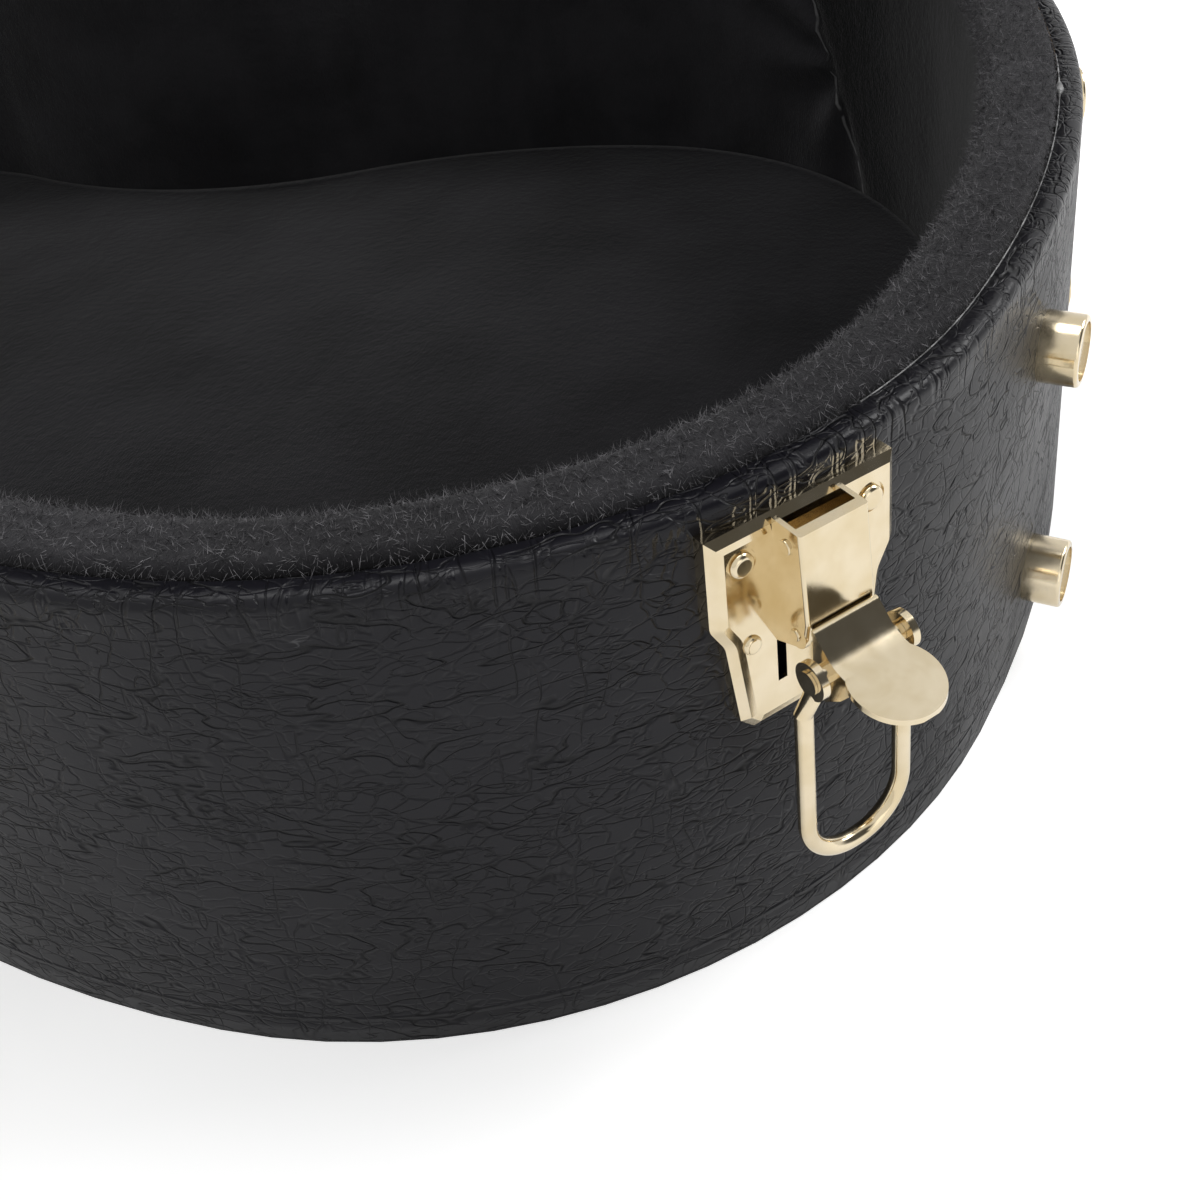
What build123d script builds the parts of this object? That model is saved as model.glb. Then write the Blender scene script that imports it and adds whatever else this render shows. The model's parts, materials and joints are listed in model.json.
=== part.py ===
"""Hard case for an acoustic guitar, lying on its back with the lid swung open.

Frame: millimetres, +Z up, +X towards the butt end, -Y towards the front (handle side), +Y towards the
hinge side. The origin is the middle of the case's length and width, on the underside of the tray.
"""
from build123d import *
import math
import os

# Overall sizes
CASE_LENGTH = 1080.0
TRAY_HEIGHT = 118.0
LID_HEIGHT = 40.0
LID_GAP = 0.6            # air between the closed lid's rim and the tray's rim
OPEN_ANGLE = 108.0       # how far the lid stands open, from closed

LID_LOW = TRAY_HEIGHT + LID_GAP
LID_TOP = LID_LOW + LID_HEIGHT

# Plan outline, from the butt end to the head end
LOWER_HALF = 218.0       # half width at the lower bout
WAIST_HALF = 165.4
UPPER_HALF = 180.0
HEAD_HALF = 84.0         # half width at the head end; the neck tapers in from here
NECK_FLARE = 1.2         # degrees that each neck side opens towards the head
R_BUTT = 367.0
R_CORNER = 155.5         # lower bout, between the butt and the side
R_SIDE = 284.0
R_WAIST = 160.0
R_UPPER = 130.0
R_SHOULDER = 60.0
R_HEAD = 45.0

# Sheet thicknesses
SKIN = 0.8               # leather-grain covering
PLY = 5.0
PANEL_PLY = 5.0
RIM_ROUND = 2.4          # rounding of the covered rim
SOFT_GAP = 0.3           # air between a soft piece and its neighbour

# Linings
WALL_PAD = 20.0
PAD_RISE = 3.0           # the wall pad stands this much above the tray's rim
PAD_ROUND = 7.0
FLOOR_PAD = 10.0
LID_PAD = 9.0
LID_WALL_PAD = 4.0
LID_PAD_RELIEF = 7.0     # the lid's wall lining stays this far from its rim

# Accessory box under the neck, and the cradle that holds the neck
BOX_LENGTH = 150.0
BOX_FROM_SHOULDER = 35.0
BOX_TOP = 60.0
BOX_WALL = 12.0
BOX_LID = 6.0
BOX_LID_CLEAR = 1.5
CRADLE_LENGTH = 42.0
CRADLE_TOP = 92.0
CRADLE_NOTCH = 62.0
CRADLE_LEDGE = 10.0
TAB_WIDTH = 16.0
TAB_REACH = 14.0
TAB_THICK = 1.2

# Feet
FOOT_R = 8.5
FOOT_HEIGHT = 9.0
FOOT_RIM = 0.8
FOOT_LOW_Z = 22.0
FOOT_HIGH_Z = 87.0
BUTT_FOOT_ANGLE = 11.3   # plan angle of the wall's normal where the butt feet stand
SPINE_FOOT_STEP = 46.0   # along the wall, from each hinge to its feet

# Hinges
HINGE_WIDTH = 44.0
HINGE_LEAF_HEIGHT = 24.0
HINGE_LEAF = 1.2
HINGE_PIN_R = 1.5
HINGE_KNUCKLE_R = 3.0
HINGE_RUN = 0.06         # radial air on a pin that turns
HINGE_STEP = 0.25        # air between neighbouring knuckles
HINGE_BACKSET = 3.3      # from the wall's tangent line out to the pin's axis

# Rivets
RIVET_R = 2.6
RIVET_DOME = 1.1
SMALL_RIVET_R = 2.0
RIVET_SEAT = 0.7         # width of the coined ring round a large rivet's head
RIVET_SINK = 0.4         # depth of that ring
RIVET_U = 14.8           # where a latch plate's rivets sit
RIVET_DROP = 7.0
LOW_RIVET_U = 13.4
LOW_RIVET_DROP = 26.3

# Latches: u runs along the wall, n out of it, z up
LATCH_TOP = TRAY_HEIGHT - 5.2
PLATE_HALF_TOP = 21.4
PLATE_HALF_LOW = 15.9
PLATE_HEIGHT = 48.0
PLATE_SHOULDER = 20.0    # height of the plate's wide part
PLATE_SLANT = 5.5        # height over which it narrows below that
PLATE_TAPER = 2.4        # how much each side still draws in from there to the lower end
PLATE_FACE = 3.0         # how far the plate's face stands off the wall's tangent
PLATE_SHEET = 1.0
PLATE_BEVEL = 2.0        # width of the outer bevel; a narrower and flatter one follows inside it
INNER_BEVEL = 1.1
SLOT_HALF = 1.05
SLOT_LENGTH = 14.0
SLOT_LOW = 38.5          # from the plate's top down to the slots' lower ends
HOUSING_HALF = 7.8
HOUSING_TOP_N = 10.5     # how far the housing's front stands out at its top
HOUSING_LEAN = 1.5       # and how much further at its lower edge
HOUSING_HEIGHT = 19.2
HOUSING_SHEET = 1.1
CHEEK_LOW = 28.3         # from the plate's top down to the lower ends of the housing's cheeks
HEM_HEIGHT = 3.6         # the housing's front is folded back on itself at the top
PIP_R = 1.5              # pressed bump on each cheek
PIP_DROP = 4.4
PIP_PROUD = 0.5
FOLD_R = 0.7             # rounding of the housing's folds
LEVER_PIN_R = 1.25
LEVER_PIN_N = 8.6
LEVER_PIN_Z = LATCH_TOP - 23.2
LEVER_SHEET = 1.2
LEVER_KNUCKLE_R = 2.4
LEVER_CLOSE = 70.0       # travel of the lever, from open down to latched
EAR_R = 2.8
TAB_HALF = 7.5
TAB_TOP_N = 12.9         # the tab's upper edge, just in front of the housing's lower edge
TAB_TOP_Z = LATCH_TOP - 19.4
TAB_EDGE_R = 1.7
TAB_BEND_N = 18.0
TAB_BEND_Z = LATCH_TOP - 24.7
TAB_BEND_R = 10.0
TAB_TIP_N = 34.7
TAB_TIP_Z = LATCH_TOP - 26.9
THUMB_R = 8.8            # rounded end of the tab
LUG_SHEET = 1.2
LUG_REACH = 13.2         # from the lever's pin to the lugs' lowest corner
LUG_FALL = 57.0          # angle of that corner below the level, with the lever open
BAIL_PIN_N = 16.3
BAIL_PIN_Z = LATCH_TOP - 26.8
BAIL_PIN_R = 1.3
BAIL_SHOULDER = 0.6      # how much wider the rivet is between a lug and an eye
BAIL_HEAD = 1.0          # and how much wider its head is
BAIL_SET = 1.4           # the legs hang this much nearer to the wall than the eyes
BAIL_WIRE_R = 1.8
BAIL_HALF = 11.7         # from the latch's middle to the middle of each leg
BAIL_LENGTH = 48.6
BAIL_CORNER = 11.2
EYE_R = 3.8              # flattened eye at the end of each leg
EYE_NECK = 2.2           # half width of the flattened wire where it enters the eye
EYE_FLARE = 5.4          # length over which the wire flattens
EYE_THICK = 1.6
EYE_U = 10.5             # from the latch's middle to the middle of an eye
LUG_GAP = 0.35
RUN = 0.05               # radial air on the latch's small pins
CATCH_LOW = 3.5          # from the lid's rim up to the catch
CATCH_HALF = 15.0
CATCH_HEIGHT = 24.0
CATCH_FACE = 2.4
HOOK_HALF = 4.0
HOOK_SHEET = 1.4
HOOK_RISE = 5.0          # height of the hook's lip over its seat
HOOK_R = 1.5             # inside of the hook's bend

# Handle
HANDLE_SPAN = 150.0      # between the two brackets
HANDLE_Z = TRAY_HEIGHT - 40.0
HANDLE_AXIS_N = 7.0
HANDLE_DROP = 34.0       # from the pivot line to the middle of the grip
GRIP_LENGTH = 118.0
GRIP_R = 10.5
RING_WIRE_R = 1.9
RING_HALF = 10.5
BRACKET_HALF = 13.0
BRACKET_HEIGHT = 34.0
BRACKET_SHEET = 1.4


def unit(angle):
    """Unit vector in plan at an angle in degrees from +X."""
    return Vector(math.cos(math.radians(angle)), math.sin(math.radians(angle)), 0)


def angle_of(vector):
    """Plan angle of a vector, in degrees from +X."""
    return math.degrees(math.atan2(vector.Y, vector.X))


def leg(hypotenuse, side):
    return math.sqrt(hypotenuse**2 - side**2)


class Arc:
    """A stretch of the outline. Its outward normal turns from angle start to angle end."""

    def __init__(self, centre, radius, start, end, hollow=False):
        self.centre, self.radius, self.start, self.end, self.hollow = centre, radius, start, end, hollow

    def point(self, angle, inset=0.0):
        """The outline's point whose normal has this angle, moved in by inset."""
        if self.hollow:
            return self.centre - unit(angle) * (self.radius + inset)
        return self.centre + unit(angle) * (self.radius - inset)

    def edge(self, inset, mirror):
        angles = (self.start, (self.start + self.end) / 2, self.end)
        points = [self.point(a, inset) for a in angles]
        return ThreePointArc(*[Vector(p.X, p.Y * mirror, 0) for p in points])


def half_outline():
    """Arcs of the outline's +Y half, butt end first. Straight lines join those that don't meet."""
    corner_y = LOWER_HALF - R_CORNER
    butt_to_corner = leg(R_BUTT - R_CORNER, corner_y)
    butt = Vector(CASE_LENGTH / 2 - R_BUTT, 0, 0)
    corner = Vector(butt.X + butt_to_corner, corner_y, 0)
    side = Vector(corner.X, LOWER_HALF - R_SIDE, 0)
    waist_y = WAIST_HALF + R_WAIST
    waist = Vector(side.X - leg(R_SIDE + R_WAIST, waist_y - side.Y), waist_y, 0)
    upper_y = UPPER_HALF - R_UPPER
    upper = Vector(waist.X - leg(R_WAIST + R_UPPER, waist_y - upper_y), upper_y, 0)

    neck_angle = 90 - NECK_FLARE
    normal, along = unit(neck_angle), unit(neck_angle + 90)
    neck_line = normal.dot(Vector(-CASE_LENGTH / 2, HEAD_HALF, 0))
    across = neck_line + R_SHOULDER
    reach = upper.dot(along) + leg(R_UPPER + R_SHOULDER, across - upper.dot(normal))
    shoulder = normal * across + along * reach
    head_x = -CASE_LENGTH / 2 + R_HEAD
    head = Vector(head_x, (neck_line - R_HEAD - normal.X * head_x) / normal.Y, 0)

    meets = [0, angle_of(corner - butt), 90, angle_of(waist - side), angle_of(waist - upper)]
    shoulder_angle = angle_of(shoulder - upper)
    return [
        Arc(butt, R_BUTT, meets[0], meets[1]),
        Arc(corner, R_CORNER, meets[1], meets[2]),
        Arc(side, R_SIDE, meets[2], meets[3]),
        Arc(waist, R_WAIST, meets[3], meets[4], hollow=True),
        Arc(upper, R_UPPER, meets[4], shoulder_angle),
        Arc(shoulder, R_SHOULDER, shoulder_angle, neck_angle, hollow=True),
        Arc(head, R_HEAD, neck_angle, 180),
    ]


ARCS = half_outline()
BUTT, CORNER, SIDE, WAIST, UPPER, SHOULDER, HEAD = ARCS


def outline(inset=0.0):
    """Face of the case's plan shape, moved in by inset."""
    edges = []
    for mirror in (1, -1):
        for before, arc in zip([None] + ARCS, ARCS):
            if before is SHOULDER:
                p, q = before.point(before.end, inset), arc.point(arc.start, inset)
                edges.append(Line((p.X, p.Y * mirror), (q.X, q.Y * mirror)))
            edges.append(arc.edge(inset, mirror))
    end = HEAD.point(HEAD.end, inset)
    edges.append(Line((end.X, end.Y), (end.X, -end.Y)))
    return make_face(Wire(edges))


def slab(inset, low, high):
    """The plan shape moved in by inset, between two heights."""
    return Pos(0, 0, low) * extrude(outline(inset), high - low)


def ring(outer, inner, low, high):
    """A wall that follows the outline."""
    return slab(outer, low, high) - slab(inner, low - 1, high + 1)


def rims(solid, inset, height):
    """Edges at one height that lie on the outline moved in by inset."""
    wall = outline(inset).edges()
    return [
        e
        for e in solid.edges().filter_by_position(Axis.Z, height - 0.01, height + 0.01)
        if min((e @ 0.5 - Vector(0, 0, height)).sub(w @ 0.5).length for w in wall) < 0.05
    ]


def wall_frame(arc, angle, side):
    """Frame on the wall: x along it, y into the case, z up, where the outline's normal has this angle.

    side is 1 on the hinge side and -1 on the front.
    """
    p = arc.point(angle)
    foot = Vector(p.X, p.Y * side, 0)
    out = unit(angle * side)
    return Plane(origin=foot, x_dir=Vector(-out.Y, out.X, 0), z_dir=(0, 0, 1))


def front_plane(n):
    """Sketch plane in a wall frame: (u, z), facing out of the wall at distance n."""
    return Plane(origin=(0, -n, 0), x_dir=(1, 0, 0), z_dir=(0, -1, 0))


def side_plane(u=0.0):
    """Sketch plane in a wall frame: (n, z), facing along -u."""
    return Plane(origin=(u, 0, 0), x_dir=(0, -1, 0), z_dir=(-1, 0, 0))


def along_u(radius, length, n, z, u=0.0):
    """A round bar along the wall, centred on u."""
    return Pos(u, -n, z) * Rot(0, 90, 0) * Cylinder(radius, length)


def side_solid(face, width, u=0.0):
    """Extrudes an (n, z) face to a width along the wall, centred on u."""
    return extrude(side_plane(u) * face, width / 2, both=True)


def bent_sheet(points, radii, thick):
    """Face of a sheet bent along a path of (n, z) points, thick to the path's left."""
    path = [Vector(*p) for p in points]
    steps = [(b - a).normalized() for a, b in zip(path, path[1:])]
    lefts = [Vector(-s.Y, s.X) for s in steps]
    back = [path[0] + lefts[0] * thick]
    turned = []
    for corner, before, after, radius in zip(path[1:-1], lefts, lefts[1:], radii):
        back.append(corner + (before + after) * (thick / (1 + before.dot(after))))
        turns_left = before.cross(after).Z > 0
        turned.append((radius + thick, radius) if turns_left else (radius, radius + thick))
    back.append(path[-1] + lefts[-1] * thick)
    near = FilletPolyline(*path, radius=[t[0] for t in turned])
    far = FilletPolyline(*back, radius=[t[1] for t in turned])
    ends = [Line(path[0], back[0]), Line(path[-1], back[-1])]
    return make_face(Wire([*near.edges(), *far.edges(), *ends]))


def rivet(u, n, z, shank, radius=RIVET_R):
    """A rivet whose domed head sits on a face at distance n."""
    dome = RIVET_DOME * radius / RIVET_R
    head = Pos(0, 0, dome / 2) * Cylinder(radius, dome)
    head = fillet(head.edges().filter_by(GeomType.CIRCLE).sort_by(Axis.Z)[-1], dome * 0.92)
    return Pos(u, -n, z) * Rot(90, 0, 0) * (head + Pos(0, 0, -shank / 2) * Cylinder(radius / 2, shank))


def plate_outline():
    """The latch plate's face: wide at the top, drawn in below its shoulders by an S-curve."""
    shoulder = LATCH_TOP - PLATE_SHOULDER
    right = [
        (PLATE_HALF_TOP, LATCH_TOP),
        (PLATE_HALF_TOP, shoulder),
        (PLATE_HALF_LOW + PLATE_TAPER, shoulder - PLATE_SLANT),
        (PLATE_HALF_LOW, LATCH_TOP - PLATE_HEIGHT + 3.0),
        (PLATE_HALF_LOW - 3.0, LATCH_TOP - PLATE_HEIGHT),
    ]
    left = [(-u, z) for u, z in reversed(right)]
    face = make_face(Polyline(*right, *left, close=True))
    turns = [v for v in face.vertices() if abs(v.Y - shoulder) < 0.01]
    face = fillet(turns, 4.0)
    turns = [v for v in face.vertices() if abs(v.Y - shoulder + PLATE_SLANT) < 0.01]
    return fillet(turns, 6.0)


def skirted_plate(face, stand, sheet, bevels):
    """A pressed plate: a flat face whose bevelled edges come down to the wall."""
    outer = extrude(front_plane(-2.5) * face, stand + 2.5)
    for drop, width in bevels:
        top = outer.faces().sort_by(Axis.Y)[0]
        outer = chamfer(top.edges(), width, drop, reference=top)
    core = offset(face, amount=-(bevels[0][1] + sheet * 0.4), kind=Kind.INTERSECTION)
    return outer - extrude(front_plane(-3.0) * core, stand + 3.0 - sheet)


# Bodies of the tray


def tray_side_wall():
    wall = ring(SKIN, SKIN + PLY, SKIN, TRAY_HEIGHT - SKIN)
    return fillet(rims(wall, SKIN, TRAY_HEIGHT - SKIN), RIM_ROUND - SKIN)


def tray_bottom_panel():
    return slab(SKIN + PLY, SKIN, SKIN + PANEL_PLY)


def tray_side_covering():
    """Covering on the outside of the wall and over its rim."""
    skin = slab(0, SKIN, TRAY_HEIGHT)
    skin = fillet(rims(skin, 0, TRAY_HEIGHT), RIM_ROUND)
    core = slab(SKIN, SKIN - 1, TRAY_HEIGHT - SKIN)
    core = fillet(rims(core, SKIN, TRAY_HEIGHT - SKIN), RIM_ROUND - SKIN)
    return skin - core - slab(SKIN + PLY, SKIN, TRAY_HEIGHT + 1)


def tray_underside_covering():
    return slab(0, 0, SKIN)


def tray_wall_pad():
    """Foam and plush lining of the wall, a little proud of the rim."""
    outer = SKIN + PLY + SOFT_GAP
    inner = outer + WALL_PAD
    top = TRAY_HEIGHT + PAD_RISE
    pad = ring(outer, inner, SKIN + PANEL_PLY, top)
    pad = fillet(rims(pad, inner, top), PAD_ROUND)
    return fillet(rims(pad, outer, top), PAD_RISE - SOFT_GAP)


PAD_INNER = SKIN + PLY + SOFT_GAP + WALL_PAD
FLOOR_TOP = SKIN + PANEL_PLY + FLOOR_PAD


def tray_floor_pad():
    return slab(PAD_INNER + SOFT_GAP, SKIN + PANEL_PLY, FLOOR_TOP)


# Accessory box

BOX_X = SHOULDER.point(SHOULDER.end).X - BOX_FROM_SHOULDER
BOX_PIVOT_X = BOX_X - BOX_WALL / 2
BOX_PIVOT_Z = BOX_TOP - BOX_LID / 2
CRADLE_X = BOX_X - BOX_WALL - BOX_LENGTH


def cross_block(x_high, length, top):
    """A block across the neck channel, cut to the lining's curve."""
    channel = slab(PAD_INNER + SOFT_GAP, FLOOR_TOP + SOFT_GAP, top)
    keep = Pos(x_high - length / 2, 0, 0) * Box(length, CASE_LENGTH, 4 * CRADLE_TOP)
    return channel & keep


def accessory_wall():
    return cross_block(BOX_X, BOX_WALL, BOX_TOP - BOX_LID - SOFT_GAP)


def neck_cradle():
    """Block with a rounded notch for the neck, and a ledge for the box lid."""
    block = cross_block(CRADLE_X, CRADLE_LENGTH, CRADLE_TOP)
    notch_depth = CRADLE_TOP - BOX_TOP
    notch = Pos(0, 0, CRADLE_TOP) * Box(2 * CASE_LENGTH, CRADLE_NOTCH, 2 * notch_depth)
    floor_edges = notch.edges().filter_by(Axis.X).group_by(Axis.Z)[0]
    notch = fillet(floor_edges, notch_depth * 0.45)
    ledge_top = BOX_TOP - BOX_LID - SOFT_GAP
    ledge = Box(CRADLE_LEDGE, CASE_LENGTH, CRADLE_TOP, align=(Align.MAX, Align.CENTER, Align.MIN))
    return block - notch - Pos(CRADLE_X + 0.01, 0, ledge_top) * ledge


def accessory_lid():
    """Box lid: its hinged edge is rounded about the pivot."""
    low, high = BOX_TOP - BOX_LID, BOX_TOP
    far = CRADLE_X - CRADLE_LEDGE + BOX_LID_CLEAR
    channel = slab(PAD_INNER + SOFT_GAP + BOX_LID_CLEAR, low, high)
    span = BOX_PIVOT_X - far
    panel = channel & Pos(far + span / 2, 0, BOX_PIVOT_Z) * Box(span, CASE_LENGTH, BOX_LID)
    roll_length = 2 * min(v.Y for v in panel.vertices() if v.X > BOX_PIVOT_X - 1 and v.Y > 0)
    roll = Pos(BOX_PIVOT_X, 0, BOX_PIVOT_Z) * Rot(90, 0, 0) * Cylinder(BOX_LID / 2, roll_length)
    return panel + roll


def accessory_pull_tab():
    """Ribbon loop standing on the free edge of the box lid."""
    far = CRADLE_X - CRADLE_LEDGE + BOX_LID_CLEAR + 10
    half = TAB_REACH * 0.32
    outer = [(-half, 0), (-half, TAB_REACH), (half, TAB_REACH), (half, 0)]
    loop = make_face(Polyline(*outer, close=True))
    tops = loop.vertices().group_by(Axis.Y)[-1]
    loop = fillet(tops, half * 0.95)
    band = loop - offset(loop, amount=-TAB_THICK, kind=Kind.ARC)
    tab = extrude(Plane.XZ * band, TAB_WIDTH / 2, both=True)
    return Pos(far, 0, BOX_TOP) * tab


# Feet


def foot():
    """Hollow metal stud, standing out of the wall at the frame's origin."""
    profile = Polyline(
        (0, -1.5),
        (FOOT_R, -1.5),
        (FOOT_R, FOOT_HEIGHT),
        (FOOT_R - 1.6, FOOT_HEIGHT),
        (FOOT_R - 1.6, FOOT_HEIGHT - FOOT_RIM),
        (0, FOOT_HEIGHT - FOOT_RIM),
        close=True,
    )
    stud = revolve(Plane.XZ * make_face(profile), Axis.Z)
    top = stud.edges().filter_by(GeomType.CIRCLE).sort_by(Axis.Z)[-2:]
    outer_edge = max(top, key=lambda e: e.radius)
    return Rot(90, 0, 0) * fillet(outer_edge, FOOT_RIM)


def trimmed(solid):
    """What stands outside the covering, so that a piece seats on the curved wall."""
    return solid - slab(0, SKIN, TRAY_HEIGHT)


def feet_at(frames):
    stud = foot()
    places = [frame.location * Pos(0, 0, z) for frame in frames for z in (FOOT_LOW_Z, FOOT_HIGH_Z)]
    return [trimmed(place * stud) for place in places]


def butt_feet():
    return feet_at([wall_frame(BUTT, BUTT_FOOT_ANGLE, side) for side in (-1, 1)])


# Hinges stand where one line touches the lower bout's side and the upper bout.

between = SIDE.centre - UPPER.centre
HINGE_ANGLE = angle_of(between) + math.degrees(
    math.acos((UPPER.radius - SIDE.radius) / between.length)
)
HINGE_FRAMES = {"lower": wall_frame(SIDE, HINGE_ANGLE, 1), "upper": wall_frame(UPPER, HINGE_ANGLE, 1)}
HINGE_Z = TRAY_HEIGHT + LID_GAP / 2
HINGE_POINT = HINGE_FRAMES["lower"].origin + unit(HINGE_ANGLE) * HINGE_BACKSET + Vector(0, 0, HINGE_Z)
HINGE_DIRECTION = unit(HINGE_ANGLE + 90)
HINGE_AXIS = Axis(HINGE_POINT, HINGE_DIRECTION)


def spine_feet():
    frames = []
    for arc, way in ((SIDE, -1), (UPPER, 1)):
        angle = HINGE_ANGLE + way * math.degrees(SPINE_FOOT_STEP / arc.radius)
        frames.append(wall_frame(arc, angle, 1))
    return feet_at(frames)


def opened(solid):
    """Swings a piece of the lid from closed to where it rests open."""
    return solid.rotate(HINGE_AXIS, OPEN_ANGLE)


KNUCKLE = HINGE_WIDTH / 3


def leaf_rivets(up):
    """Rivets through one hinge leaf, above the pin when up is 1 and below it when -1."""
    spots = ((-HINGE_WIDTH * 0.32, 0.42), (HINGE_WIDTH * 0.32, 0.42), (0, 0.76))
    return [
        rivet(u, HINGE_LEAF, HINGE_Z + up * share * HINGE_LEAF_HEIGHT, HINGE_LEAF, SMALL_RIVET_R)
        for u, share in spots
    ]


def leaf(up, stations):
    """Hinge leaf on the wall, with knuckles at these stations along the pin."""
    edge = HINGE_KNUCKLE_R - 0.2
    height = HINGE_LEAF_HEIGHT - edge
    depth = HINGE_LEAF + 5
    middle = HINGE_Z + up * (edge + height / 2)
    plate = Pos(0, depth / 2 - HINGE_LEAF, middle) * Box(HINGE_WIDTH, depth, height)
    plate = fillet(plate.edges().filter_by(Axis.Y).group_by(Axis.Z)[-1 if up > 0 else 0], 4)
    for r in leaf_rivets(up):
        plate -= r
    length = KNUCKLE - HINGE_STEP
    for u in stations:
        web_height = edge + 0.5
        web = Pos(u, -HINGE_BACKSET / 2, HINGE_Z + up * (web_height / 2 + LID_GAP / 2)) * Box(
            length, HINGE_BACKSET, web_height
        )
        plate += along_u(HINGE_KNUCKLE_R, length, HINGE_BACKSET, HINGE_Z, u) + web
    return plate - along_u(HINGE_PIN_R + HINGE_RUN, 2 * HINGE_WIDTH, HINGE_BACKSET, HINGE_Z)


def seat_on_walls(solid):
    """What stands outside the tray and the closed lid."""
    return solid - slab(0, SKIN, TRAY_HEIGHT) - slab(0, LID_LOW, LID_TOP)


def hinge_tray_leaf(frame):
    return seat_on_walls(frame.location * leaf(-1, (-KNUCKLE, KNUCKLE)))


def hinge_lid_leaf(frame):
    return opened(seat_on_walls(frame.location * leaf(1, (0,))))


def hinge_pin(frame):
    pin = along_u(HINGE_PIN_R, HINGE_WIDTH + 1.6, HINGE_BACKSET, HINGE_Z)
    heads = [
        along_u(HINGE_PIN_R * 1.5, 0.8, HINGE_BACKSET, HINGE_Z, side * (HINGE_WIDTH / 2 + 0.9))
        for side in (-1, 1)
    ]
    return frame.location * (pin + heads[0] + heads[1])


# Latches, drawn in their wall frame


def latch_plate():
    """Pressed plate under the latch, with two slots that the lever's lugs drop into."""
    bevels = ((PLATE_BEVEL * 0.75, PLATE_BEVEL), (INNER_BEVEL * 0.35, INNER_BEVEL))
    plate = skirted_plate(plate_outline(), PLATE_FACE, PLATE_SHEET, bevels)
    slot_z = LATCH_TOP - SLOT_LOW + SLOT_LENGTH / 2
    for side in (-1, 1):
        slot = Pos(side * (HOUSING_HALF - SLOT_HALF), -PLATE_FACE, slot_z) * Box(
            2 * SLOT_HALF, 4 * PLATE_SHEET, SLOT_LENGTH
        )
        plate -= slot
        seat = Cylinder(RIVET_R + RIVET_SEAT, RIVET_SINK) - Cylinder(RIVET_R, 2 * RIVET_SINK)
        at = Pos(side * RIVET_U, -PLATE_FACE + RIVET_SINK / 2, LATCH_TOP - RIVET_DROP) * Rot(90, 0, 0)
        plate -= at * seat
    for r in latch_rivets():
        plate -= r
    return plate


def cheek_profile():
    """Side view of the housing, with the ear that holds the lever's pin."""
    top, low = LATCH_TOP - 0.2, LATCH_TOP - HOUSING_HEIGHT
    floor = LATCH_TOP - CHEEK_LOW
    front = HOUSING_TOP_N + HOUSING_LEAN
    body = Polyline(
        (PLATE_FACE, top),
        (HOUSING_TOP_N, top),
        (front, low),
        (LEVER_PIN_N + EAR_R, LEVER_PIN_Z),
        (LEVER_PIN_N, LEVER_PIN_Z - EAR_R),
        (PLATE_FACE, floor),
        close=True,
    )
    return make_face(body) + Pos(LEVER_PIN_N, LEVER_PIN_Z) * Circle(EAR_R)


def housing_front(depth):
    """Face of the housing's front sheet between its plane and one depth behind it."""
    top, low = LATCH_TOP - 0.2, LATCH_TOP - HOUSING_HEIGHT
    front = HOUSING_TOP_N + HOUSING_LEAN
    near, far = [(HOUSING_TOP_N, top), (front, low)], [(front - depth, low), (HOUSING_TOP_N - depth, top)]
    return make_face(Polyline(*near, *far, close=True))


def latch_housing():
    """Folded housing on the plate: two cheeks and a front, open at the top and at the back."""
    width = 2 * HOUSING_HALF
    housing = side_solid(housing_front(HOUSING_SHEET), width)
    hem_low = LATCH_TOP - HEM_HEIGHT
    hem = side_solid(housing_front(2.1 * HOUSING_SHEET), width - 2 * HOUSING_SHEET)
    hem &= Pos(0, 0, hem_low + width / 2) * Box(width, 4 * HOUSING_TOP_N, width)
    housing += hem
    for side in (-1, 1):
        u = side * (HOUSING_HALF - HOUSING_SHEET / 2)
        pip_n, pip_z = (PLATE_FACE + HOUSING_TOP_N) / 2, LATCH_TOP - PIP_DROP
        pip = along_u(PIP_R, 2 * PIP_PROUD, pip_n, pip_z, side * HOUSING_HALF)
        pip = fillet(pip.edges().filter_by(GeomType.CIRCLE), PIP_PROUD / 2)
        housing += side_solid(cheek_profile(), HOUSING_SHEET, u) + pip
    folds = [
        e
        for e in housing.edges()
        if abs(abs((e @ 0.5).X) - HOUSING_HALF) < 0.01
        and (e @ 0).Z + (e @ 1).Z > 2 * LEVER_PIN_Z
        and -(e @ 0.5).Y > HOUSING_TOP_N
        and abs((e % 0.5).Z) > 0.9
    ]
    housing = fillet(folds, FOLD_R)
    return housing - along_u(LEVER_PIN_R, 4 * HOUSING_HALF, LEVER_PIN_N, LEVER_PIN_Z)


def latch_pin():
    """Rivet through the housing's ears that the lever turns on."""
    pin = along_u(LEVER_PIN_R, 2 * HOUSING_HALF + 0.8, LEVER_PIN_N, LEVER_PIN_Z)
    ends = pin.edges().filter_by(GeomType.CIRCLE)
    return fillet(ends, 0.35)


KNUCKLE_HALF = HOUSING_HALF - HOUSING_SHEET - LUG_GAP


def lever_sheet():
    """Side view of the lever's sheet: out from the knuckle, down to a soft bend, out to the thumb tab."""
    start = (LEVER_PIN_N, LEVER_PIN_Z + LEVER_KNUCKLE_R)
    edge = (TAB_TOP_N, TAB_TOP_Z)
    bend = (TAB_BEND_N, TAB_BEND_Z)
    tip = (TAB_TIP_N, TAB_TIP_Z)
    return bent_sheet([start, edge, bend, tip], [TAB_EDGE_R, TAB_BEND_R], -LEVER_SHEET)


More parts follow.
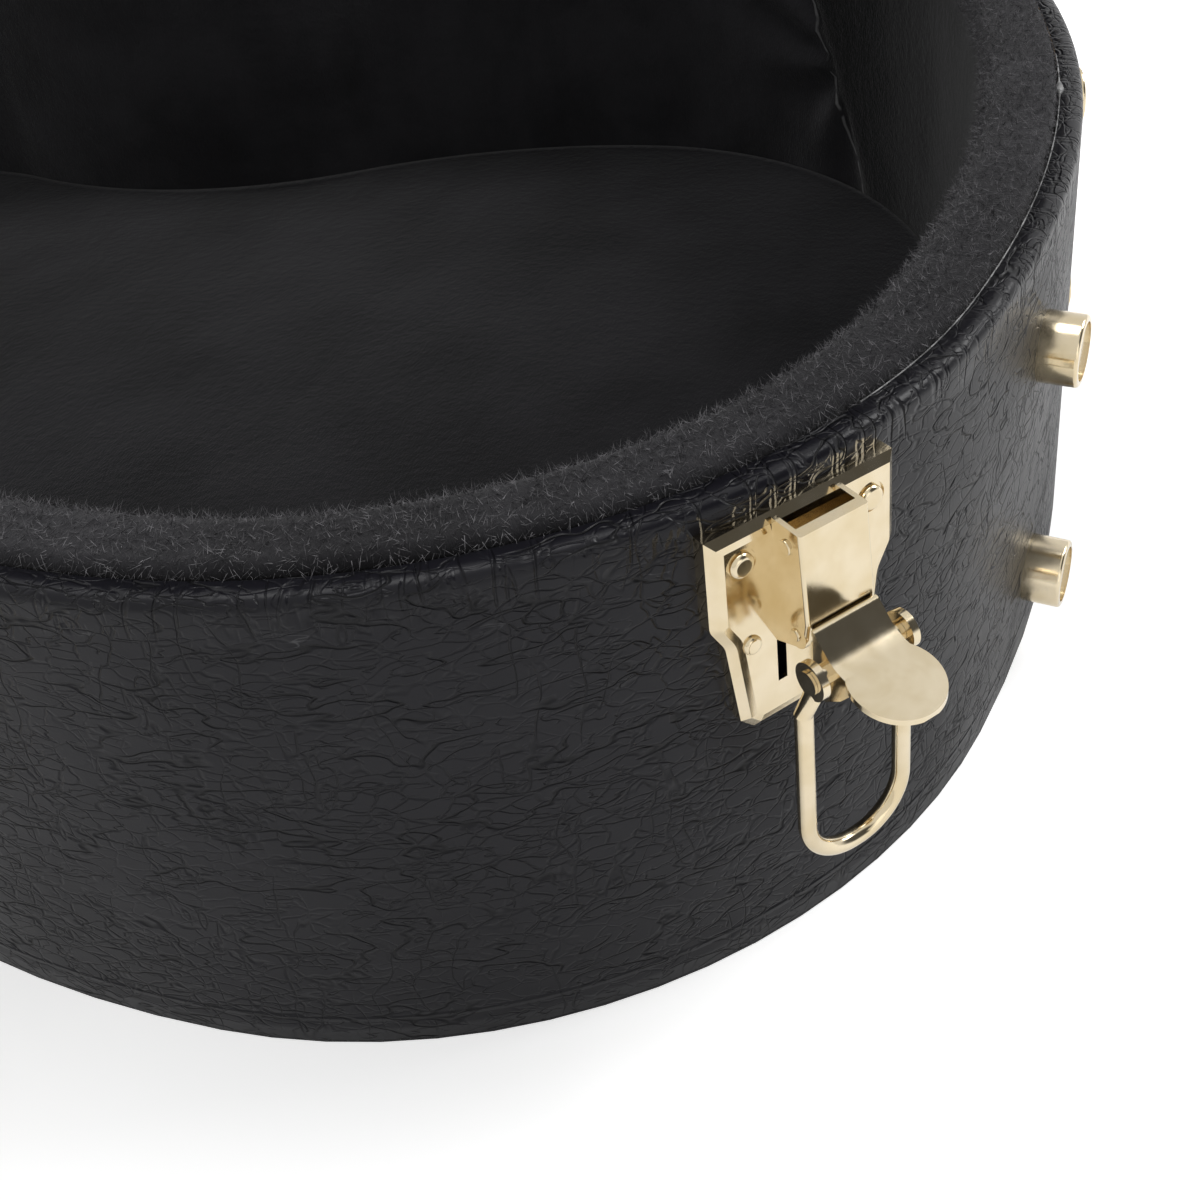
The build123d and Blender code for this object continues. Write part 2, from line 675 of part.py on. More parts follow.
def lug_profile():
    """Side view of a lug, below the tab: it carries the bail and drops into the plate's slot when latched."""
    fall = math.radians(-LUG_FALL)
    corner = (LEVER_PIN_N + LUG_REACH * math.cos(fall), LEVER_PIN_Z + LUG_REACH * math.sin(fall))
    back = TAB_TOP_N - 0.1
    under = TAB_BEND_Z - LEVER_SHEET
    points = [
        (back, TAB_TOP_Z - LEVER_SHEET - 0.4),
        (TAB_BEND_N - 1.0, TAB_BEND_Z + 0.6),
        (TAB_BEND_N + 3.5, under + 0.2),
        (TAB_BEND_N + 6.0, under - 0.2),
        (TAB_BEND_N + 2.0, under - 5.0),
        corner,
        (back, BAIL_PIN_Z - 3.0),
    ]
    return make_face(Polyline(*points, close=True))


def latch_lever():
    """Thumb lever: a knuckle on its pin, a bent tab with a round end, and two lugs for the bail."""
    tab = side_solid(lever_sheet(), 2 * THUMB_R)
    thumb_n = TAB_TIP_N - THUMB_R
    neck_length = thumb_n - 2.2
    keep = Pos(0, -thumb_n, TAB_TIP_Z) * Cylinder(THUMB_R, 20)
    keep += Pos(0, -neck_length / 2, TAB_TOP_Z) * Box(2 * TAB_HALF, neck_length, 60)
    tab &= keep
    for side in (-1, 1):
        beside = side * (KNUCKLE_HALF + 5)
        tab -= Pos(beside, -(TAB_TOP_N - 0.4) / 2, LEVER_PIN_Z) * Box(10, TAB_TOP_N - 0.4, 40)
    lever = tab + along_u(LEVER_KNUCKLE_R, 2 * KNUCKLE_HALF, LEVER_PIN_N, LEVER_PIN_Z)
    for side in (-1, 1):
        lever += side_solid(lug_profile(), LUG_SHEET, side * (TAB_HALF - LUG_SHEET / 2))
    lever -= along_u(LEVER_PIN_R + RUN, 4 * TAB_HALF, LEVER_PIN_N, LEVER_PIN_Z)
    return lever - along_u(BAIL_PIN_R, 4 * TAB_HALF, BAIL_PIN_N, BAIL_PIN_Z)


def bail_rivets():
    """Shouldered rivets in the lever's lugs, which the bail's eyes turn on."""
    near_face, far_face = EYE_U - EYE_THICK / 2 - RUN, EYE_U + EYE_THICK / 2 + RUN
    stages = [
        (BAIL_PIN_R, TAB_HALF - LUG_SHEET, far_face),
        (BAIL_PIN_R + BAIL_SHOULDER, TAB_HALF, near_face),
        (BAIL_PIN_R + BAIL_HEAD, far_face, far_face + RIVET_DOME / 2),
    ]
    made = []
    for side in (-1, 1):
        bars = [
            along_u(radius, far - near, BAIL_PIN_N, BAIL_PIN_Z, side * (near + far) / 2)
            for radius, near, far in stages
        ]
        made.append(bars[0] + bars[1] + bars[2])
    return made


def latch_bail():
    """Wire bail: a U with a round end, whose legs end in flattened eyes."""
    low = BAIL_PIN_Z - BAIL_LENGTH
    eye_low = BAIL_PIN_Z - leg(EYE_R, EYE_NECK)
    leg_top = eye_low - EYE_FLARE
    path = FilletPolyline(
        (-BAIL_HALF, BAIL_SET, leg_top),
        (-BAIL_HALF, BAIL_SET, low),
        (BAIL_HALF, BAIL_SET, low),
        (BAIL_HALF, BAIL_SET, leg_top),
        radius=BAIL_CORNER,
    )
    section = Plane(origin=path @ 0, z_dir=path % 0) * Circle(BAIL_WIRE_R)
    bail = sweep(section, path.wire())
    for side in (-1, 1):
        round_end = Pos(side * BAIL_HALF, BAIL_SET, leg_top) * Circle(BAIL_WIRE_R)
        flat_end = Pos(side * EYE_U, 0, eye_low) * Ellipse(EYE_THICK / 2, EYE_NECK)
        eye = Pos(side * EYE_U, 0, BAIL_PIN_Z) * Rot(0, 90, 0) * Cylinder(EYE_R, EYE_THICK)
        bail += loft([round_end, flat_end]) + eye
    bail -= Pos(0, 0, BAIL_PIN_Z) * Rot(0, 90, 0) * Cylinder(BAIL_PIN_R + RUN, 4 * BAIL_HALF)
    return Pos(0, -BAIL_PIN_N, 0) * bail


def latched_bail():
    """Where the middle of the bail's round end lies when the latch is closed: (n, z)."""
    dn, dz = BAIL_PIN_N - LEVER_PIN_N, BAIL_PIN_Z - LEVER_PIN_Z
    a = math.radians(-LEVER_CLOSE)
    pin_n = LEVER_PIN_N + dn * math.cos(a) - dz * math.sin(a)
    pin_z = LEVER_PIN_Z + dn * math.sin(a) + dz * math.cos(a)
    return pin_n + BAIL_SET, pin_z + BAIL_LENGTH


def latch_catch():
    """Plate on the lid with a hook whose lip holds the bail."""
    low = LID_LOW + CATCH_LOW
    face = make_face(
        Polyline(
            (-CATCH_HALF, low),
            (CATCH_HALF, low),
            (CATCH_HALF, low + CATCH_HEIGHT - 5),
            (CATCH_HALF - 5, low + CATCH_HEIGHT),
            (-CATCH_HALF + 5, low + CATCH_HEIGHT),
            (-CATCH_HALF, low + CATCH_HEIGHT - 5),
            close=True,
        )
    )
    plate = skirted_plate(face, CATCH_FACE, PLATE_SHEET, ((PLATE_BEVEL * 0.6, PLATE_BEVEL * 0.85),))
    wire_n, wire_z = latched_bail()
    inner_r = BAIL_CORNER - BAIL_WIRE_R
    seat = wire_z - BAIL_WIRE_R - (inner_r - leg(inner_r, HOOK_HALF)) - LUG_GAP
    lip = wire_n + BAIL_WIRE_R + LUG_GAP
    hook = bent_sheet(
        [
            (CATCH_FACE - 0.6, seat - 0.6),
            (lip, seat),
            (lip + 0.6, seat + HOOK_RISE),
        ],
        [HOOK_R + HOOK_SHEET],
        -HOOK_SHEET,
    )
    for r in catch_rivets():
        plate -= r
    return plate + side_solid(hook, 2 * HOOK_HALF)


def latch_rivets():
    """Two rivets in the plate's wide part and two smaller ones by its shoulders."""
    shank = PLATE_SHEET + 1.0
    rows = [(RIVET_U, RIVET_DROP, RIVET_R), (LOW_RIVET_U, LOW_RIVET_DROP, SMALL_RIVET_R)]
    return [
        rivet(side * u, PLATE_FACE, LATCH_TOP - drop, shank, radius)
        for u, drop, radius in rows
        for side in (-1, 1)
    ]


def catch_rivets():
    height = LID_LOW + CATCH_LOW + CATCH_HEIGHT - 8.5
    return [rivet(u, CATCH_FACE, height, PLATE_SHEET + 0.6, SMALL_RIVET_R) for u in (-11.2, 11.2)]


def neck_frame(x, side):
    """Frame on the straight neck side at a given x."""
    start, end = SHOULDER.point(SHOULDER.end), HEAD.point(HEAD.start)
    share = (x - start.X) / (end.X - start.X)
    p = start + (end - start) * share
    out = unit((90 - NECK_FLARE) * side)
    return Plane(origin=(p.X, p.Y * side, 0), x_dir=Vector(-out.Y, out.X, 0), z_dir=(0, 0, 1))


LATCH_FRAMES = {
    "butt_front": wall_frame(CORNER, 42, -1),
    "butt_back": wall_frame(CORNER, 42, 1),
    "waist": wall_frame(SIDE, 104, -1),
    "shoulder": wall_frame(UPPER, 128, -1),
    "neck": neck_frame(-CASE_LENGTH * 0.36, -1),
}


def on_frame(frame, solid, outside_only=True):
    placed = frame.location * solid
    return seat_on_walls(placed) if outside_only else placed


# Handle

def handle_frame():
    """Frame midway between the brackets, along the chord of the waist."""
    ends = [
        wall_frame(UPPER, UPPER.start + 9.5, -1).origin,
        wall_frame(SIDE, SIDE.end - 5, -1).origin,
    ]
    along = (ends[1] - ends[0]).normalized()
    return Plane(origin=(ends[0] + ends[1]) / 2, x_dir=along, z_dir=(0, 0, 1))


HANDLE = handle_frame()


def handle_brackets():
    """Two riveted plates whose curled lower ends hold the handle's rings."""
    made = []
    for side in (-1, 1):
        u = side * HANDLE_SPAN / 2
        plate = Pos(u, 10 - BRACKET_SHEET, HANDLE_Z + BRACKET_HEIGHT / 2 - 6) * Box(
            2 * BRACKET_HALF, 20 + BRACKET_SHEET, BRACKET_HEIGHT
        )
        plate = fillet(plate.edges().filter_by(Axis.Y), 5)
        curl = along_u(RING_WIRE_R + 1.5, 14, HANDLE_AXIS_N, HANDLE_Z, u)
        foot_of_curl = Pos(u, -HANDLE_AXIS_N / 2, HANDLE_Z) * Box(14, HANDLE_AXIS_N, 2 * RING_WIRE_R + 2)
        bore = along_u(RING_WIRE_R + RUN, 60, HANDLE_AXIS_N, HANDLE_Z, u)
        made.append(trimmed(HANDLE.location * (plate + curl + foot_of_curl - bore)))
    return made


def ring_wire(side, radius):
    """One ring, hanging from its bracket."""
    u, half, low = side * HANDLE_SPAN / 2, RING_HALF, HANDLE_Z - HANDLE_DROP
    path = FilletPolyline(
        (u + 0.1, 0, HANDLE_Z),
        (u + half, 0, HANDLE_Z),
        (u + half, 0, low),
        (u - half, 0, low),
        (u - half, 0, HANDLE_Z),
        (u, 0, HANDLE_Z),
        radius=[3, 3, 3, 3],
    )
    section = Plane(origin=path @ 0, z_dir=path % 0) * Circle(radius)
    return Pos(0, -HANDLE_AXIS_N, 0) * sweep(section, path.wire())


def handle_rings():
    """Wire rings through the brackets' curls and the ends of the grip."""
    return [HANDLE.location * ring_wire(side, RING_WIRE_R) for side in (-1, 1)]


def handle_grip():
    """Stitched grip, swollen in the middle, whose ends hold the rings."""
    half = GRIP_LENGTH / 2
    end = (HANDLE_SPAN / 2 + 5.0, 5.6, 4.4)
    stations = [(-end[0], end[1], end[2]), (-half + 4, 8.5, 7.0), (0, GRIP_R, GRIP_R * 0.86)]
    stations += [(-u, a, b) for u, a, b in reversed(stations[:-1])]
    sections = [
        Plane(origin=(u, -HANDLE_AXIS_N, HANDLE_Z - HANDLE_DROP), x_dir=(0, 1, 0), z_dir=(1, 0, 0))
        * Ellipse(b, a)
        for u, a, b in stations
    ]
    grip = loft(sections)
    for side in (-1, 1):
        grip -= ring_wire(side, RING_WIRE_R + 0.2)
    return HANDLE.location * grip


# Lid, drawn closed and then swung open


def lid_side_wall():
    return ring(SKIN, SKIN + PLY, LID_LOW + SKIN, LID_TOP - SKIN - PANEL_PLY)


def lid_top_panel():
    panel = slab(SKIN, LID_TOP - SKIN - PANEL_PLY, LID_TOP - SKIN)
    return fillet(rims(panel, SKIN, LID_TOP - SKIN), PANEL_PLY - SKIN)


def lid_covering():
    """Covering over the lid, turned in under its rim."""
    skin = fillet(rims(slab(0, LID_LOW, LID_TOP), 0, LID_TOP), PANEL_PLY)
    core = slab(SKIN, LID_LOW + SKIN, LID_TOP - SKIN)
    core = fillet(rims(core, SKIN, LID_TOP - SKIN), PANEL_PLY - SKIN)
    return skin - core - slab(SKIN + PLY, LID_LOW - 1, LID_LOW + 2 * SKIN)


def lid_wall_lining():
    outer = SKIN + PLY + SOFT_GAP
    return ring(outer, outer + LID_WALL_PAD, LID_LOW + LID_PAD_RELIEF, LID_TOP - SKIN - PANEL_PLY)


def lid_top_pad():
    inner = SKIN + PLY + LID_WALL_PAD + 2 * SOFT_GAP
    top = LID_TOP - SKIN - PANEL_PLY
    pad = slab(inner, top - LID_PAD, top)
    return fillet(rims(pad, inner, top - LID_PAD), LID_PAD * 0.4)


def build():
    """Every piece by its name, where it lies at rest."""
    pieces = {
        "tray_side_wall": tray_side_wall(),
        "tray_bottom_panel": tray_bottom_panel(),
        "tray_side_covering": tray_side_covering(),
        "tray_underside_covering": tray_underside_covering(),
        "tray_wall_pad": tray_wall_pad(),
        "tray_floor_pad": tray_floor_pad(),
        "accessory_wall": accessory_wall(),
        "neck_cradle": neck_cradle(),
        "accessory_lid": accessory_lid(),
        "accessory_pull_tab": accessory_pull_tab(),
        "butt_feet": butt_feet(),
        "spine_feet": spine_feet(),
        "lid_side_wall": opened(lid_side_wall()),
        "lid_top_panel": opened(lid_top_panel()),
        "lid_covering": opened(lid_covering()),
        "lid_wall_lining": opened(lid_wall_lining()),
        "lid_top_pad": opened(lid_top_pad()),
        "handle_brackets": handle_brackets(),
        "handle_rings": handle_rings(),
        "handle_grip": handle_grip(),
    }
    for name, frame in HINGE_FRAMES.items():
        pieces[f"hinge_{name}_tray_leaf"] = hinge_tray_leaf(frame)
        pieces[f"hinge_{name}_lid_leaf"] = hinge_lid_leaf(frame)
        pieces[f"hinge_{name}_pin"] = hinge_pin(frame)
    pieces["hinge_tray_rivets"] = [
        f.location * r for f in HINGE_FRAMES.values() for r in leaf_rivets(-1)
    ]
    pieces["hinge_lid_rivets"] = [
        opened(f.location * r) for f in HINGE_FRAMES.values() for r in leaf_rivets(1)
    ]
    rivets, hooks, pins = [], [], []
    for name, frame in LATCH_FRAMES.items():
        pieces[f"latch_{name}_plate"] = on_frame(frame, latch_plate())
        pieces[f"latch_{name}_housing"] = on_frame(frame, latch_housing(), False)
        moving = [latch_lever(), *bail_rivets()]
        pieces[f"latch_{name}_lever"] = [on_frame(frame, m, False) for m in moving]
        pieces[f"latch_{name}_bail"] = on_frame(frame, latch_bail(), False)
        pieces[f"latch_{name}_catch"] = opened(on_frame(frame, latch_catch()))
        pins.append(on_frame(frame, latch_pin(), False))
        rivets += [on_frame(frame, r, False) for r in latch_rivets()]
        hooks += [opened(on_frame(frame, r, False)) for r in catch_rivets()]
    pieces["latch_pins"] = pins
    pieces["latch_rivets"] = rivets
    pieces["catch_rivets"] = hooks
    return pieces


def main():
    os.makedirs("parts", exist_ok=True)
    for name, made in build().items():
        shape = Compound(children=[s for m in made for s in m.solids()]) if isinstance(made, list) else made
        export_step(shape, os.path.join("parts", name + ".step"))
    print("hinge point", HINGE_POINT, "direction", HINGE_DIRECTION)


if __name__ == "__main__":
    main()
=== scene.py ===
"""Looks for the acoustic guitar case: covering, plush, gilt hardware, studio."""

import json
import math
from contextlib import contextmanager

import bmesh
import bpy
import numpy as np
from bpy.props import FloatProperty, FloatVectorProperty, PointerProperty
from mathutils import Matrix, Vector, kdtree, noise

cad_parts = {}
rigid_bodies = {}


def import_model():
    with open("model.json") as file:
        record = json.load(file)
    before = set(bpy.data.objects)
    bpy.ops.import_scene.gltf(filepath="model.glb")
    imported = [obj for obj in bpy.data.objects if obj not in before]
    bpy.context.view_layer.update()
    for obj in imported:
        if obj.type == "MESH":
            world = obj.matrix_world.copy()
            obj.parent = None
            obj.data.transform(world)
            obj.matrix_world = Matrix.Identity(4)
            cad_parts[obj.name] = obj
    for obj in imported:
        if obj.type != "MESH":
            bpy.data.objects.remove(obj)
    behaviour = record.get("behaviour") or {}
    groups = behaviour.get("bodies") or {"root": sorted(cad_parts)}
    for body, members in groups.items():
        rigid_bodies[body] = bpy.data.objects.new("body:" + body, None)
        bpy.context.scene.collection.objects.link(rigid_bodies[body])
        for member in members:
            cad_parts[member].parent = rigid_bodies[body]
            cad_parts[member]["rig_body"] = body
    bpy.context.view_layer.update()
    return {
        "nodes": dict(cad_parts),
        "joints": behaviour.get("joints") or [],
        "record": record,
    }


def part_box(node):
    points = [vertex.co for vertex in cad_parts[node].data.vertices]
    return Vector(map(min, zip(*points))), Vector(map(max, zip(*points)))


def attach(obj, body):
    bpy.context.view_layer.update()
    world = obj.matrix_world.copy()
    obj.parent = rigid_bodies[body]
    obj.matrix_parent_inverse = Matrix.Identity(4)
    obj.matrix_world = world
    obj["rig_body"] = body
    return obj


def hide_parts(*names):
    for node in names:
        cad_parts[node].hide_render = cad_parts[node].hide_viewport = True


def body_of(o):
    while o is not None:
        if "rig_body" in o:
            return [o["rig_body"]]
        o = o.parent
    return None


bl_info = {
    "name": "Acoustic Guitar Case",
    "version": (1, 0, 0),
    "blender": (4, 5, 0),
    "location": "View3D > Sidebar > Guitar Case",
    "description": "Builds the covering, plush lining, hardware finish and studio of a guitar case",
    "category": "Object",
}

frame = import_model()
NODES = frame["nodes"]
JOINTS = {j["name"]: j for j in frame["joints"]}

# Heights in metres
TRAY_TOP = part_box("tray_side_covering")[1].z
FLOOR_LOW, FLOOR_TOP = (c.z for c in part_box("tray_floor_pad"))
LID_LOW = TRAY_TOP + 0.0006
LID_TOP = LID_LOW + 0.040
LID_EDGE_ROUND = 0.005

# The end wall's slanting join: where it and its folds begin along the outline, and its run for each metre up
JOIN_RUN, FOLDS_RUN, JOIN_SLANT = 0.1826, 0.180, 0.43

# The rim's hairs: their radius, their draw, and the x from which they stand thickest
HAIR_RADIUS, HAIR_SEED, THICK_PILE = 0.00008, 7, 0.19

# Steps of a rounded corner and across a sheet, the distance at which points merge, and the blown blocks' cloth
ARC_STEPS, SHEET_COLUMNS, MERGE = 8, 72, 1e-6
PRESSURE, CLOTH_STEPS = 4.0, 12

# Outputs of a light path node
SEEN, MIRRORED, THROUGH = 0, 3, 6


# Settings


class CaseOutlineSizes(bpy.types.PropertyGroup):
    """Plan of the case, as in the CAD model."""

    length: FloatProperty(name="Length", description="Butt end to head end", default=1.080, unit="LENGTH")
    lower_half: FloatProperty(name="Lower bout", description="Half width", default=0.218, unit="LENGTH")
    waist_half: FloatProperty(name="Waist", description="Half width", default=0.1654, unit="LENGTH")
    upper_half: FloatProperty(name="Upper bout", description="Half width", default=0.180, unit="LENGTH")
    head_half: FloatProperty(name="Head end", description="Half width", default=0.084, unit="LENGTH")
    neck_flare: FloatProperty(
        name="Neck flare", description="Slant of each neck side", default=math.radians(1.2), subtype="ANGLE"
    )
    butt_radius: FloatProperty(name="Butt radius", description="Of the butt end", default=0.367, unit="LENGTH")
    corner_radius: FloatProperty(
        name="Corner radius", description="Between butt and side", default=0.1555, unit="LENGTH"
    )
    side_radius: FloatProperty(name="Side radius", description="Of the lower bout", default=0.284, unit="LENGTH")
    waist_radius: FloatProperty(name="Waist radius", description="Of the hollow waist", default=0.160, unit="LENGTH")
    upper_radius: FloatProperty(name="Upper radius", description="Of the upper bout", default=0.130, unit="LENGTH")
    shoulder_radius: FloatProperty(
        name="Shoulder radius", description="Hollow, where the neck begins", default=0.060, unit="LENGTH"
    )
    head_radius: FloatProperty(
        name="Head corner radius", description="Of the head end's corners", default=0.045, unit="LENGTH"
    )
    spacing: FloatProperty(name="Spacing", description="Step along the outline", default=0.0028, unit="LENGTH")


class LiningSizes(bpy.types.PropertyGroup):
    """Padding of the tray and lid."""

    pad_outer: FloatProperty(
        name="Pad's outer face", description="Inwards from the outline", default=0.0061, unit="LENGTH"
    )
    pad_inner: FloatProperty(
        name="Pad's inner face", description="Inwards from the outline", default=0.0261, unit="LENGTH"
    )
    pad_rise: FloatProperty(name="Pad's rise", description="Above the rim", default=0.0030, unit="LENGTH")
    pile: FloatProperty(name="Pile", description="Length of the hairs", default=0.0026, unit="LENGTH")
    pile_density: FloatProperty(name="Pile density", description="Hairs in a square metre", default=1.45e6)
    lid_wall_pad: FloatProperty(name="Lid wall lining", description="Thickness", default=0.004, unit="LENGTH")
    lid_relief: FloatProperty(
        name="Lid relief", description="From the lid's rim to its lining", default=0.007, unit="LENGTH"
    )
    lid_pad: FloatProperty(name="Lid pad", description="Thickness", default=0.009, unit="LENGTH")
    colour: FloatVectorProperty(
        name="Plush colour", description="Walls and lid", subtype="COLOR", default=(0.022, 0.0215, 0.0235), min=0, max=1
    )
    floor_colour: FloatVectorProperty(
        name="Floor colour", description="Flat pile", subtype="COLOR", default=(0.008, 0.0078, 0.0088), min=0, max=1
    )


class CoveringSizes(bpy.types.PropertyGroup):
    """Leather-grain covering."""

    thickness: FloatProperty(name="Thickness", description="Of the covering", default=0.0008, unit="LENGTH")
    wall: FloatProperty(name="Covered wall", description="Covering and plywood", default=0.0058, unit="LENGTH")
    rim_round: FloatProperty(name="Rim rounding", description="Radius outside", default=0.0024, unit="LENGTH")
    colour: FloatVectorProperty(
        name="Covering colour", description="Unrubbed", subtype="COLOR", default=(0.0062, 0.006, 0.0085), min=0, max=1
    )


class CameraPlace(bpy.types.PropertyGroup):
    """Where the photograph was taken from."""

    azimuth: FloatProperty(
        name="Azimuth", description="About the upright", default=math.radians(18.6076), subtype="ANGLE"
    )
    elevation: FloatProperty(
        name="Elevation", description="Downward look", default=math.radians(31.7207), subtype="ANGLE"
    )
    roll: FloatProperty(
        name="Roll", description="About the line of sight", default=math.radians(-6.8695), subtype="ANGLE"
    )
    place: FloatVectorProperty(
        name="Place", description="Position in metres", default=(0.5261, -0.3797, 0.2766), subtype="XYZ"
    )
    lens: FloatProperty(name="Focal length", description="In mm on a 36 mm sensor", default=45.6, unit="CAMERA")
    shift: FloatVectorProperty(name="Shift", description="In frame widths", size=2, default=(0.01445, -0.1992))


# Nodes of materials


def add_node(tree, kind, settings, values):
    """Adds a node and gives its outputs. A value that is a socket is linked, and any other is set."""
    node = tree.nodes.new(kind)
    for key, value in settings.items():
        setattr(node, key, value)
    for key, value in values.items():
        if isinstance(value, bpy.types.NodeSocket):
            tree.links.new(value, node.inputs[key])
        else:
            node.inputs[key].default_value = value
    return node.outputs


class Value:
    """A socket of a finish's nodes that takes part in arithmetic."""

    def __init__(self, finish, socket):
        self.finish, self.socket = finish, socket

    def _math(self, operation, *values):
        return self.finish.add("ShaderNodeMath", {"operation": operation}, dict(enumerate(values)))

    def __add__(self, other):
        return self._math("ADD", self, other)

    def __sub__(self, other):
        return self._math("SUBTRACT", self, other)

    def __rsub__(self, other):
        return self._math("SUBTRACT", other, self)

    def __mul__(self, other):
        return self._math("MULTIPLY", self, other)

    __radd__ = __add__

    def largest(self, other):
        return self._math("MAXIMUM", self, other)

    def size(self):
        return self._math("ABSOLUTE", self)

    def ramp(self, low, high, to_low=0.0, to_high=1.0):
        """Maps low..high smoothly to to_low..to_high, flat beyond both ends."""
        values = {0: self, 1: low, 2: high, 3: to_low, 4: to_high}
        return self.finish.add("ShaderNodeMapRange", {"interpolation_type": "SMOOTHSTEP"}, values)


class Finish:
    """A material or world whose nodes are added one call at a time."""

    def __init__(self, name, owner=None):
        self.material = owner or bpy.data.materials.new(name)
        self.material.use_nodes = True
        self.tree = self.material.node_tree
        self.tree.nodes.clear()

    def add(self, kind, settings=None, values=None, out=0):
        """Adds a node and gives its output of the number out."""
        plain = {key: value.socket if isinstance(value, Value) else value for key, value in (values or {}).items()}
        outputs = add_node(self.tree, kind, settings or {}, plain)
        return Value(self, outputs[out]) if outputs else None

    def coords(self, source, scale=(1, 1, 1), turn=0.0):
        """Coordinates in metres times scale: UV for swept pieces, Object for the rest."""
        start = self.add("ShaderNodeTexCoord", out={"UV": 2, "Object": 3}[source])
        return self.add("ShaderNodeMapping", {}, {"Vector": start, "Scale": scale, "Rotation": (0, 0, turn)})

    def warped(self, where, scale, amount):
        """Coordinates pushed about by noise."""
        push = self.add("ShaderNodeTexNoise", {}, {"Vector": where, "Scale": scale, "Detail": 2.0}, out=1)
        centred = self.add("ShaderNodeVectorMath", {"operation": "SUBTRACT"}, {0: push, 1: (0.5, 0.5, 0.5)})
        scaled = self.add("ShaderNodeVectorMath", {"operation": "SCALE"}, {0: centred, "Scale": amount})
        return self.add("ShaderNodeVectorMath", {"operation": "ADD"}, {0: where, 1: scaled})

    def noise(self, where, scale, detail=2.0, roughness=0.5):
        values = {"Vector": where, "Scale": scale, "Detail": detail, "Roughness": roughness}
        return self.add("ShaderNodeTexNoise", {}, values)

    def cells(self, where, scale):
        """Distance to the nearest cell border."""
        return self.add("ShaderNodeTexVoronoi", {"feature": "DISTANCE_TO_EDGE"}, {"Vector": where, "Scale": scale})

    def creases(self, where, scale, width, missing):
        """Thin lines, broken where a second noise is below missing."""
        line = 1 - (self.noise(where, scale, 1.5) - 0.5).size().ramp(0.0, width)
        return line * self.noise(where, scale * 0.61, 1.0).ramp(missing, missing + 0.14)

    def mix(self, share, a, b):
        """Colour between a and b."""
        values = {0: share, 6: a if isinstance(a, Value) else (*a, 1), 7: b if isinstance(b, Value) else (*b, 1)}
        return self.add("ShaderNodeMix", {"data_type": "RGBA"}, values, out=2)

    def bump(self, height, distance, strength):
        return self.add("ShaderNodeBump", {}, {"Height": height, "Distance": distance, "Strength": strength})

    def surface(self, **values):
        """Ends the material in a Principled shader with these sockets."""
        named = {key.replace("_", " "): value for key, value in values.items()}
        shader = self.add("ShaderNodeBsdfPrincipled", {}, named)
        self.add("ShaderNodeOutputMaterial", {}, {"Surface": shader})
        return self.material


# Finishes


def grain(finish, source):
    """Valleys of the covering's grain: long level creases, finer upright ones, and crackle between."""
    level = finish.warped(finish.coords(source, (0.42, 1.0, 1.0)), 60.0, 0.007)
    upright = finish.warped(finish.coords(source, (1.0, 0.36, 0.36)), 70.0, 0.006)
    where = finish.coords(source)
    long = finish.creases(level, 150.0, 0.024, 0.40)
    short = finish.creases(level, 330.0, 0.034, 0.46)
    across = finish.creases(upright, 150.0, 0.022, 0.47)
    broad = finish.warped(finish.coords(source, (0.6, 1.0, 1.0)), 130.0, 0.006)
    crackle = 1 - finish.cells(broad, 250.0).ramp(0.0, 0.075)
    cracked = finish.noise(where, 26.0, 1.0).ramp(0.42, 0.62)
    return long.largest(short * 0.6).largest(across * 0.55).largest(crackle * (0.12 + cracked * 0.38))


def vinyl(name, colour, source="UV", edges=False):
    """Leather-grain covering; edges adds the rim's puckers and the line pressed in above the lower edge."""
    finish = Finish(name)
    valleys = grain(finish, source)
    where = finish.coords(source)
    swell = finish.noise(finish.warped(where, 30.0, 0.01), 62.0, 1.5)
    pores = finish.noise(where, 1500.0, 2.0)
    patches = finish.noise(where, 11.0, 3.0)
    rubbed = finish.noise(where, 5.0, 2.0).ramp(0.42, 0.62)
    # The valleys turn towards dark: painted shade in the creases of the grain.
    dark = tuple(c * 0.45 for c in colour)
    faded = tuple(min(1.0, c * 1.35) for c in colour)
    base = finish.mix(valleys * 0.9, finish.mix(rubbed, colour, faded), dark)
    rough = patches.ramp(0.3, 0.7, 0.34, 0.45) + valleys * 0.14
    height = 1 - valleys + swell * 0.8 + pores * 0.05
    if edges:
        up = finish.add("ShaderNodeSeparateXYZ", {}, {0: where}, out=1)
        rim = up.ramp(0.1075, 0.1125) * up.ramp(0.1225, 0.1205)
        puckered = finish.warped(finish.coords(source, (1.0, 0.16, 1.0)), 60.0, 0.004)
        puckers = finish.creases(puckered, 230.0, 0.05, 0.42)
        pressed = (up - 0.0068).size().ramp(0.0, 0.0009, 1.0, 0.0)
        scuffs = finish.creases(finish.coords(source, (0.22, 1.0, 1.0)), 420.0, 0.02, 0.58) * up.ramp(0.098, 0.108)
        height = height - rim * puckers + rim * 0.2 + pressed * 0.8
        base = finish.mix(scuffs * rim.ramp(0.0, 1.0, 0.5, 0.1), base, (0.16, 0.16, 0.17))
        rough = rough - rim * 0.07
    return finish.surface(
        Base_Color=base, Roughness=rough, Normal=finish.bump(height, 0.00065, 0.95), Specular_IOR_Level=0.22
    )


